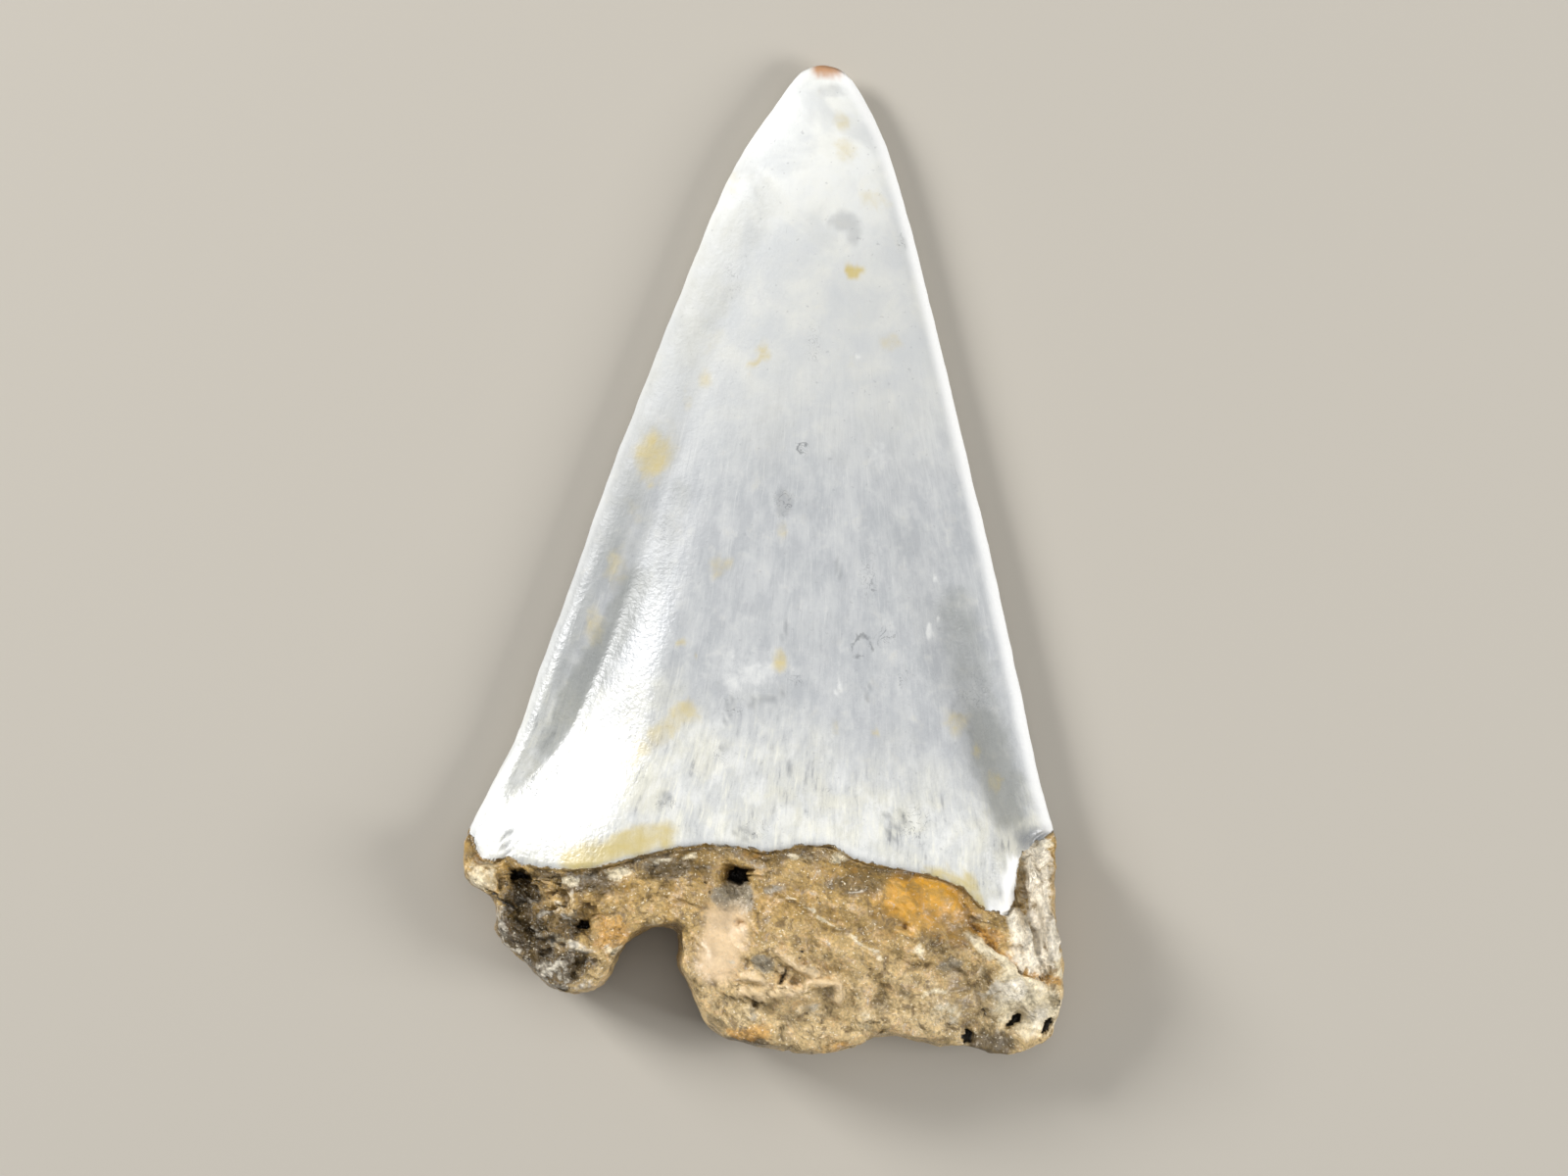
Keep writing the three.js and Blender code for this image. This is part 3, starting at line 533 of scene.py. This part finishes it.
# Dark in pits, cracks and pores: partly dirt and partly painted shade.
soot_and_shade = np.maximum(pit_shade, dark_lines)
soot_and_shade = np.maximum(soot_and_shade, 0.5 * bare * ramp(0.12, 0.26, pores))
relief = (rough * 2.5 + 0.5) * bare

# Each mark goes to the material as a value at each point. A place along the flow of the crown goes with
# them: across it from edge to edge, as if the crown were as wide all the way up as at its base, and up it,
# with the outer face set well apart from the inner one.
painted = {
    "enamel": enamel, "ochre": ochre, "grey_and_shade": grey_and_shade, "chalk_and_painted_light": chalk_and_painted_light, "scribbles": scribbles,
    "ring_spots": ring_spots, "ink": ink, "shade": shade, "painted_edge_light": painted_edge_light, "worn_tip": worn_tip,
    "facet": facet, "pink": pink, "orange": orange, "slate": slate, "cream_and_ridge_light": cream_and_ridge_light, "gold": gold,
    "lobe": lobe, "olive_and_shade": olive_and_shade, "painted_silver_highlights": painted_silver_highlights, "veins": veins, "soot_and_shade": soot_and_shade, "relief": relief,
}
for name, values in painted.items():
    attribute = mesh.attributes.new(name, "FLOAT", "POINT")
    attribute.data.foreach_set("value", np.ascontiguousarray(values, dtype=np.float32))
crown_width = 34
faces_apart = 40
flow = np.stack([between * crown_width, y, z / 2 + faces_apart * (tilt_up < 0)], axis=1)
attribute = mesh.attributes.new("flow", "FLOAT_VECTOR", "POINT")
attribute.data.foreach_set("vector", np.ascontiguousarray(flow.ravel(), dtype=np.float32))


# The finish: fossil enamel and dentine, both apatite. The enamel was polished by sand, which gives the
# eye a satin gloss broken by fine ripples, grey clouds and streaks that run down the crown, and its edges
# are painted white, for light caught on them and glowing through. The dentine is mineral grain in tan,
# brown and cream, dull with glints, some of them painted.
def linear(code):
    """An sRGB hex colour as linear red, green, blue and a full alpha."""
    parts = [int(code[i:i + 2], 16) / 255 for i in (1, 3, 5)]
    return [p / 12.92 if p <= 0.04045 else ((p + 0.055) / 1.055) ** 2.4 for p in parts] + [1]


apatite = bpy.data.materials.new("fossil_enamel_and_dentine")
apatite.use_nodes = True
tree = apatite.node_tree
shader = tree.nodes["Principled BSDF"]


# Sockets go by number where several share a name. A Map Range node reads 0 and turns the range from 1 to
# 2 into the range from 3 to 4, which is 0 to 1 unless it is set. A Mix node's factor is 0, its numbers are
# 2 and 3 and its colours 6 and 7.
def add(kind, sockets, **settings):
    """A node with its settings, and its sockets either linked or set."""
    made = tree.nodes.new(kind)
    for name, value in settings.items():
        setattr(made, name, value)
    for socket, value in sockets.items():
        if isinstance(value, bpy.types.NodeSocket):
            tree.links.new(value, made.inputs[socket])
        else:
            made.inputs[socket].default_value = value
    return made


marks = {}
for name in painted:
    marks[name] = add("ShaderNodeAttribute", {}, attribute_name=name).outputs["Fac"]
flow_lines = add("ShaderNodeAttribute", {}, attribute_name="flow").outputs["Vector"]
object_place = add("ShaderNodeTexCoord", {}).outputs["Object"]
in_mm = add("ShaderNodeVectorMath", {0: object_place, "Scale": mm_per_metre}, operation="SCALE").outputs[0]
sideways, height_up = list(add("ShaderNodeSeparateXYZ", {0: in_mm}).outputs)[:2]
fibre_stretch = 1.6
along_fibres = add(
    "ShaderNodeMapping",
    {"Vector": in_mm, "Rotation": (0, 0, math.radians(fibre_turn)), "Scale": (fibre_stretch, 1, 1)},
    vector_type="TEXTURE",
).outputs[0]

# Noise patterns by name: what they follow, the size of a lump in mm, detail, roughness and distortion. The
# real dentine's flecks go down to 0.05 mm, too fine to show, so the finest are drawn at 0.1 to 0.2 mm.
patterns = {}
for name, vector, size, detail, roughness, distortion in (
    ("clouds", in_mm, 4.0, 4, 0.55, 0.4),
    ("wisps", in_mm, 1.1, 3, 0.6, 0.3),
    ("mottle", in_mm, 2.6, 4, 0.6, 0.5),
    ("patches", in_mm, 0.9, 4, 0.6, 0.7),
    ("grain", along_fibres, 0.6, 6, 0.68, 0.5),
    ("flecks", in_mm, 0.2, 3, 0.6, 0.2),
    ("glints", in_mm, 0.17, 1, 0.5, 0.0),
    ("specks", in_mm, 0.33, 2, 0.5, 0.0),
    ("rust", in_mm, 0.9, 4, 0.65, 0.6),
    ("ripple", in_mm, 0.28, 2, 0.5, 0.3),
    ("curls", in_mm, 0.7, 2, 0.5, 1.5),
    ("fine", in_mm, 0.12, 2, 0.6, 0.0),
):
    patterns[name] = add(
        "ShaderNodeTexNoise",
        {"Vector": vector, "Scale": 1 / size, "Detail": detail, "Roughness": roughness,
         "Distortion": distortion},
    ).outputs["Fac"]

# Streaks that run down the crown, by name: width and length in mm where the crown is widest, and detail.
# The real hairlines are about 0.03 mm wide, too fine to show, so they are drawn 0.11 mm wide.
for name, width, length, detail in (
    ("strands", 0.26, 1.8, 6), ("hairs", 0.11, 2.2, 3), ("flames", 1.1, 2.4, 5),
):
    stretched = add("ShaderNodeMapping", {"Vector": flow_lines, "Scale": (1 / width, 1 / length, 1)})
    patterns[name] = add(
        "ShaderNodeTexNoise",
        {"Vector": stretched.outputs[0], "Scale": 1, "Detail": detail, "Roughness": 0.65},
    ).outputs["Fac"]

# The border of a stain or of a mineral spot is ragged, so a pattern is added to its mark before the step:
# the mark, the pattern and how much of it, and the two values between which the step rises.
frayed = {}
for name, pattern, spread, low, high in (
    ("ochre", "wisps", 1.0, 0.05, 1.25),
    ("grey_and_shade", "wisps", 1.0, 0.15, 1.1),
    ("chalk_and_painted_light", "wisps", 1.4, 0.1, 1.0),
    ("shade", "mottle", 0.9, 0.0, 1.0),
    ("orange", "patches", 1.4, 0.1, 1.2),
    ("slate", "patches", 1.8, 0.25, 0.9),
    ("cream_and_ridge_light", "patches", 1.8, 0.25, 0.9),
    ("gold", "patches", 1.8, 0.25, 0.9),
    ("painted_silver_highlights", "patches", 2.4, 0.2, 0.85),
    ("lobe", "patches", 2.2, 0.2, 0.8),
    ("olive_and_shade", "patches", 1.7, 0.2, 0.9),
    ("soot_and_shade", "flecks", 0.8, 0.35, 0.7),
):
    shifted = add(
        "ShaderNodeMath", {0: patterns[pattern], 1: spread, 2: -spread / 2}, operation="MULTIPLY_ADD"
    ).outputs[0]
    shifted = add("ShaderNodeMath", {0: marks[name], 1: shifted}, operation="ADD").outputs[0]
    frayed[name] = add(
        "ShaderNodeMapRange", {0: shifted, 1: low, 2: high}, interpolation_type="SMOOTHSTEP"
    ).outputs[0]

# The white base of the crown begins along an uneven line, lower towards the right.
line_wanders = 9.0
line_falls = 0.27
ragged_height = add(
    "ShaderNodeMath", {0: patterns["clouds"], 1: -line_wanders, 2: line_wanders / 2},
    operation="MULTIPLY_ADD",
).outputs[0]
ragged_height = add("ShaderNodeMath", {0: ragged_height, 1: height_up}, operation="ADD").outputs[0]
ragged_height = add(
    "ShaderNodeMath", {0: sideways, 1: line_falls, 2: ragged_height}, operation="MULTIPLY_ADD"
).outputs[0]

# Masks by name: the value that they read and the two values between which they rise from 0 to 1.
masks = {}
for name, value, low, high in (
    ("upper crown", height_up, 3.0, 15.0),
    ("lower crown", height_up, 17.0, 5.0),
    ("satin", height_up, -9.0, 9.0),
    ("tip", height_up, 16.0, 28.0),
    ("base", ragged_height, -8.0, -14.5),
    ("low root", height_up, -22.0, -29.0),
    ("clouds", patterns["clouds"], 0.4, 0.64),
    ("wisps", patterns["wisps"], 0.48, 0.64),
    ("flames", patterns["flames"], 0.48, 0.64),
    ("dim flames", patterns["flames"], 0.52, 0.38),
    ("light strands", patterns["strands"], 0.5, 0.72),
    ("dark strands", patterns["strands"], 0.5, 0.3),
    ("light hairs", patterns["hairs"], 0.56, 0.72),
    ("dark hairs", patterns["hairs"], 0.44, 0.28),
    ("ticks", patterns["hairs"], 0.27, 0.2),
    ("stipple", patterns["specks"], 0.67, 0.76),
    ("hem shade", marks["enamel"], 0.6, 0.05),
    ("mottle", patterns["mottle"], 0.36, 0.66),
    ("light patches", patterns["patches"], 0.52, 0.66),
    ("dark patches", patterns["patches"], 0.48, 0.34),
    ("rust", patterns["rust"], 0.5, 0.66),
    ("dull", patterns["rust"], 0.56, 0.4),
    ("glints", patterns["glints"], 0.66, 0.73),
    ("hollow shade", marks["relief"], 0.45, 0.0),
):
    masks[name] = add(
        "ShaderNodeMapRange", {0: value, 1: low, 2: high}, interpolation_type="SMOOTHSTEP"
    ).outputs[0]

# A mask that shows only where a second one does, by name: the white base has tints, clouds and streaks of
# its own, and the streaks of the rest fade out above the middle of the crown.
for name, pattern, region in (
    ("base tints", "mottle", "base"),
    ("base clouds", "flames", "base"),
    ("light base strands", "light strands", "base"),
    ("dark base strands", "dark strands", "base"),
    ("base shadows", "dim flames", "dark base strands"),
    ("upper tints", "mottle", "upper crown"),
    ("upper clouds", "clouds", "upper crown"),
    ("lower strands", "dark strands", "lower crown"),
    ("lower dark hairs", "dark hairs", "lower crown"),
    ("lower light hairs", "light hairs", "lower crown"),
):
    masks[name] = add(
        "ShaderNodeMath", {0: masks[pattern], 1: masks[region]}, operation="MULTIPLY"
    ).outputs[0]
dull_orange = add(
    "ShaderNodeMath", {0: frayed["orange"], 1: masks["dull"]}, operation="MULTIPLY"
).outputs[0]

# Hair-thin dark curls, where algae once etched the enamel: the lines along which a pattern is halfway.
# They are drawn about 0.1 mm wide, because real ones are too fine to show.
curls = add("ShaderNodeMath", {0: patterns["curls"], 1: 0.5}, operation="SUBTRACT").outputs[0]
curls = add("ShaderNodeMath", {0: curls}, operation="ABSOLUTE").outputs[0]
curls = add("ShaderNodeMapRange", {0: curls, 1: 0.022, 2: 0.004}).outputs[0]
curls = add("ShaderNodeMath", {0: curls, 1: marks["scribbles"]}, operation="MULTIPLY").outputs[0]

# The two rings, each uneven and worn away in places. Their line is about 0.05 mm wide on a real tooth,
# too fine to show, so it is drawn 0.1 to 0.2 mm wide.
uneven_by = 1.5
line_gone, line_full = 0.13, 0.03
seen_flat = add("ShaderNodeVectorMath", {0: in_mm, 1: (1, 1, 0)}, operation="MULTIPLY").outputs[0]
rings = []
for ring_x, ring_y, radius, spot in ring_places:
    from_centre = add("ShaderNodeVectorMath", {0: seen_flat, 1: (ring_x, ring_y, 0)}, operation="DISTANCE")
    from_line = add(
        "ShaderNodeMath", {0: patterns["wisps"], 1: uneven_by, 2: -uneven_by / 2 - radius},
        operation="MULTIPLY_ADD",
    ).outputs[0]
    from_line = add(
        "ShaderNodeMath", {0: from_centre.outputs["Value"], 1: from_line}, operation="ADD"
    ).outputs[0]
    from_line = add("ShaderNodeMath", {0: from_line}, operation="ABSOLUTE").outputs[0]
    rings.append(add("ShaderNodeMapRange", {0: from_line, 1: line_gone, 2: line_full}).outputs[0])
rings = add("ShaderNodeMath", {0: rings[0], 1: rings[1]}, operation="MAXIMUM").outputs[0]
rings = add("ShaderNodeMath", {0: rings, 1: marks["ring_spots"]}, operation="MULTIPLY").outputs[0]
worn_away = add("ShaderNodeMapRange", {0: patterns["patches"], 1: 0.44, 2: 0.54}).outputs[0]
rings = add("ShaderNodeMath", {0: rings, 1: worn_away}, operation="MULTIPLY").outputs[0]


def laid_over(colour, layers):
    """A colour with others laid over it one by one, each as its colour, its mask and its strength."""
    for code, mask, strength in layers:
        amount = add("ShaderNodeMath", {0: mask, 1: strength}, operation="MULTIPLY").outputs[0]
        colour = add(
            "ShaderNodeMix", {0: amount, 6: colour, 7: linear(code)}, data_type="RGBA"
        ).outputs[2]
    return colour


# The enamel is blue-grey, whiter towards the tip and at the base, and stained and etched, with painted
# shade in its troughs, on some grey marks and just above its border, and painted light along its edges and
# on one chalky mark.
enamel_colour = laid_over(linear("#b6b8b9"), (
    ("#a8abad", masks["clouds"], 0.6),
    ("#cdcecc", masks["wisps"], 0.26),
    ("#9a9da1", masks["dim flames"], 0.35),
    ("#c9cac8", masks["flames"], 0.3),
    ("#c8c9c6", masks["upper crown"], 0.85),
    ("#e8e9e5", masks["tip"], 0.85),
    ("#e9e6d6", masks["upper tints"], 0.25),
    ("#b9bcbe", masks["upper clouds"], 0.5),
    ("#cfd0cc", masks["base"], 0.7),
    ("#e6e0c2", masks["base tints"], 0.35),
    ("#f4f4f1", masks["base clouds"], 0.35),
    ("#f1eedd", masks["light base strands"], 0.6),
    ("#7b7d80", masks["base shadows"], 0.85),
    ("#9fa0a3", masks["lower strands"], 0.2),
    ("#96979a", masks["lower dark hairs"], 0.26),
    ("#626467", masks["ticks"], 0.6),
    ("#dcdcd8", masks["lower light hairs"], 0.28),
    ("#8f9092", masks["stipple"], 0.35),
    ("#8a8c8d", frayed["grey_and_shade"], 0.42),
    # Painted shade: a grey band just above the enamel's border.
    ("#a3a5a8", masks["hem shade"], 0.45),
    ("#83857f", frayed["shade"], 0.62),
    ("#eeeeea", frayed["chalk_and_painted_light"], 0.55),
    ("#c2ad5c", frayed["ochre"], 0.85),
    ("#3f4245", curls, 0.65),
    ("#5d6063", marks["ink"], 0.42),
    ("#55585a", rings, 0.6),
    ("#fbfbf9", marks["painted_edge_light"], 0.88),
    ("#6f7379", marks["facet"], 0.8),
    ("#b27a42", marks["worn_tip"], 0.9),
))

# The dentine is tan, with rust and mineral spots in its grain, and paler low down. Its hollows are darkened
# with painted shade, and its broken places and lobe carry painted silver highlights.
dentine_colour = laid_over(linear("#ab8a4c"), (
    ("#cbab6e", masks["mottle"], 0.8),
    ("#e2c794", masks["low root"], 0.7),
    ("#ecd6a6", masks["light patches"], 0.65),
    ("#6f5731", masks["dark patches"], 0.7),
    ("#c0812a", masks["rust"], 0.45),
    ("#4a3c22", frayed["olive_and_shade"], 0.85),
    ("#827f74", frayed["slate"], 0.75),
    ("#c98f2e", frayed["gold"], 0.6),
    ("#f4e6c4", frayed["cream_and_ridge_light"], 0.85),
    ("#e3a329", frayed["orange"], 0.85),
    ("#ad8a46", dull_orange, 0.8),
    ("#f0d2a8", marks["pink"], 0.85),
    ("#ecd0a4", marks["veins"], 0.75),
    ("#382b15", frayed["lobe"], 0.9),
    ("#fdf3de", frayed["painted_silver_highlights"], 0.85),
    # Painted shade: darker in the root's low hollows.
    ("#4d3f28", masks["hollow shade"], 0.35),
))

# The dentine is darker and lighter grain by grain, but less so where it is orange, pink or a vein. Painted
# glints, bright cream dots, stand in for sparkle off its crystals, and its pits and cracks are near black,
# partly dirt and partly painted shade.
most_quiet = 0.7
tone = add("ShaderNodeMapRange", {0: patterns["grain"], 1: 0.32, 2: 0.68, 3: 0.72, 4: 1.24}).outputs[0]
fleck_tone = add("ShaderNodeMapRange", {0: patterns["flecks"], 1: 0.32, 2: 0.68, 3: 0.74, 4: 1.27})
tone = add("ShaderNodeMath", {0: tone, 1: fleck_tone.outputs[0]}, operation="MULTIPLY").outputs[0]
quiet = add("ShaderNodeMath", {0: marks["orange"], 1: marks["pink"]}, operation="MAXIMUM").outputs[0]
quiet = add("ShaderNodeMath", {0: quiet, 1: marks["veins"]}, operation="MAXIMUM").outputs[0]
quiet = add("ShaderNodeMath", {0: quiet, 1: most_quiet}, operation="MULTIPLY").outputs[0]
loud = add("ShaderNodeMath", {0: 1.0, 1: quiet}, operation="SUBTRACT").outputs[0]
tone = add("ShaderNodeMix", {0: quiet, 2: tone, 3: 1.0}, data_type="FLOAT").outputs[0]
dentine_colour = add(
    "ShaderNodeVectorMath", {0: dentine_colour, "Scale": tone}, operation="SCALE"
).outputs[0]
painted_glints = add("ShaderNodeMath", {0: masks["glints"], 1: loud}, operation="MULTIPLY").outputs[0]
dentine_colour = laid_over(dentine_colour, (
    ("#fff4d8", painted_glints, 0.7),
    ("#15110b", frayed["soot_and_shade"], 0.96),
))

# The enamel ends in a thin ragged border. Its widths are in mm.
ragged_by = 0.9
fades_within = 0.05
border = add("ShaderNodeMath", {0: patterns["patches"], 1: 0.5}, operation="SUBTRACT").outputs[0]
border = add(
    "ShaderNodeMath", {0: border, 1: ragged_by, 2: marks["enamel"]}, operation="MULTIPLY_ADD"
).outputs[0]
on_enamel = add(
    "ShaderNodeMapRange", {0: border, 1: -fades_within, 2: fades_within}, interpolation_type="SMOOTHSTEP"
).outputs[0]
surface_colour = add(
    "ShaderNodeMix", {0: on_enamel, 6: dentine_colour, 7: enamel_colour}, data_type="RGBA"
).outputs[2]
tree.links.new(surface_colour, shader.inputs["Base Color"])

# Gloss: the enamel is satin, and duller on the upper crown, along its white edges and where it is etched.
# The dentine is dull with glinting crystals, but the dark lobe and the silvery places shine as if polished.
enamel_gloss = add(
    "ShaderNodeMapRange", {0: patterns["wisps"], 1: 0.3, 2: 0.7, 3: 0.24, 4: 0.32}
).outputs[0]
for mask, duller_by in ((masks["satin"], 0.24), (marks["painted_edge_light"], 0.2), (marks["ink"], 0.35)):
    enamel_gloss = add(
        "ShaderNodeMath", {0: mask, 1: duller_by, 2: enamel_gloss}, operation="MULTIPLY_ADD"
    ).outputs[0]
shines_by = 0.22
dentine_gloss = add(
    "ShaderNodeMapRange", {0: patterns["flecks"], 1: 0.4, 2: 0.62, 3: 0.5, 4: 0.24}
).outputs[0]
shiny = add("ShaderNodeMath", {0: marks["lobe"], 1: marks["painted_silver_highlights"]}, operation="MAXIMUM").outputs[0]
dentine_gloss = add(
    "ShaderNodeMath", {0: shiny, 1: -shines_by, 2: dentine_gloss}, operation="MULTIPLY_ADD"
).outputs[0]
gloss = add(
    "ShaderNodeMix", {0: on_enamel, 2: dentine_gloss, 3: enamel_gloss}, data_type="FLOAT"
).outputs[0]
tree.links.new(gloss, shader.inputs["Roughness"])
shader.inputs["IOR"].default_value = 1.6

# Fine relief: ripples of 0.3 mm and hairline scratches in the enamel, and in the dentine grains of 0.1 to
# 0.9 mm and broken facets of 0.24 to 1.1 mm. Its heights are in microns, and the bump is read in metres.
micron = 0.000001
enamel_relief = add(
    "ShaderNodeMath", {0: patterns["ripple"], 1: 26 * micron}, operation="MULTIPLY"
).outputs[0]
for pattern, height in (("hairs", 6), ("wisps", 10)):
    enamel_relief = add(
        "ShaderNodeMath", {0: patterns[pattern], 1: height * micron, 2: enamel_relief},
        operation="MULTIPLY_ADD",
    ).outputs[0]
dentine_relief = add(
    "ShaderNodeMath", {0: patterns["grain"], 1: 160 * micron}, operation="MULTIPLY"
).outputs[0]
for pattern, height in (("rust", 120), ("fine", 20)):
    dentine_relief = add(
        "ShaderNodeMath", {0: patterns[pattern], 1: height * micron, 2: dentine_relief},
        operation="MULTIPLY_ADD",
    ).outputs[0]
for size, height in ((1.1, 600), (0.5, 600), (0.24, 300)):
    cells = add("ShaderNodeTexVoronoi", {"Vector": along_fibres, "Scale": 1 / size})
    offset = add(
        "ShaderNodeVectorMath", {0: along_fibres, 1: cells.outputs["Position"]}, operation="SUBTRACT"
    ).outputs[0]
    tilt = add(
        "ShaderNodeVectorMath", {0: cells.outputs["Color"], 1: (0.5, 0.5, 0.5)}, operation="SUBTRACT"
    ).outputs[0]
    facets = add("ShaderNodeVectorMath", {0: offset, 1: tilt}, operation="DOT_PRODUCT").outputs["Value"]
    dentine_relief = add(
        "ShaderNodeMath", {0: facets, 1: height * micron, 2: dentine_relief}, operation="MULTIPLY_ADD"
    ).outputs[0]

# The dentine is rougher in some patches than in others, most in the dark lobe and least where it is quiet.
uneven = add("ShaderNodeMapRange", {0: patterns["mottle"], 1: 0.38, 2: 0.62, 3: 0.4, 4: 1.3}).outputs[0]
uneven = add("ShaderNodeMath", {0: uneven, 1: marks["lobe"]}, operation="ADD").outputs[0]
uneven = add("ShaderNodeMath", {0: uneven, 1: loud}, operation="MULTIPLY").outputs[0]
dentine_relief = add("ShaderNodeMath", {0: dentine_relief, 1: uneven}, operation="MULTIPLY").outputs[0]
relief_height = add(
    "ShaderNodeMix", {0: on_enamel, 2: dentine_relief, 3: enamel_relief}, data_type="FLOAT"
).outputs[0]
bump = add("ShaderNodeBump", {"Height": relief_height, "Distance": 1.0, "Strength": 1.0})
tree.links.new(bump.outputs[0], shader.inputs["Normal"])
mesh.materials.clear()
mesh.materials.append(apatite)

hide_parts("tooth")
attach(tooth, "root")


# The table: a plain pale sheet that the tooth lies on, wide enough for any view.
table_size = 4
bpy.ops.mesh.primitive_plane_add(size=table_size, location=(0, 0, 0))
table = bpy.context.object
table.name = "table"
paper = bpy.data.materials.new("pale_paper")
paper.use_nodes = True
paper_shader = paper.node_tree.nodes["Principled BSDF"]
paper_shader.inputs["Base Color"].default_value = linear("#b7b1a6")
paper_shader.inputs["Roughness"].default_value = 0.8
table.data.materials.append(paper)


# The light: a soft box low at the upper left, a second one low at the right, a weak one from above, and
# the pale room.
def soft_box(name, direction, distance, size, watts):
    """A square lamp of a size in metres, that shines at the tooth from a distance in a direction."""
    lamp = bpy.data.lights.new(name, "AREA")
    lamp.size = size
    lamp.energy = watts
    box = bpy.data.objects.new(name, lamp)
    bpy.context.collection.objects.link(box)
    box.location = Vector(direction).normalized() * distance
    box.rotation_euler = Vector(direction).to_track_quat("Z", "Y").to_euler()


soft_box("key", (-0.75, 0.46, 0.475), 0.6, 0.2, 3.7)
soft_box("right", (0.85, -0.2, 0.47), 0.6, 0.25, 2.5)
soft_box("fill", (0.15, 0.2, 0.95), 0.8, 0.6, 1.1)
world = bpy.data.worlds.new("room")
bpy.context.scene.world = world
world.use_nodes = True
room_light = world.node_tree.nodes["Background"]
room_light.inputs["Color"].default_value = (0.97, 0.98, 1, 1)
room_light.inputs["Strength"].default_value = 0.3

# The camera looks straight down on the tooth from 45 cm, with the tip at the top of the picture.
camera_data = bpy.data.cameras.new("camera")
camera_data.sensor_width = 36
camera_data.lens = 160.6
camera_data.clip_start = 0.01
camera = bpy.data.objects.new("camera", camera_data)
bpy.context.collection.objects.link(camera)
camera.location = (0.0013, -0.0018, 0.453)
camera.rotation_euler = (0, 0, 0)
bpy.context.scene.camera = camera
bpy.context.scene.view_settings.view_transform = "Standard"
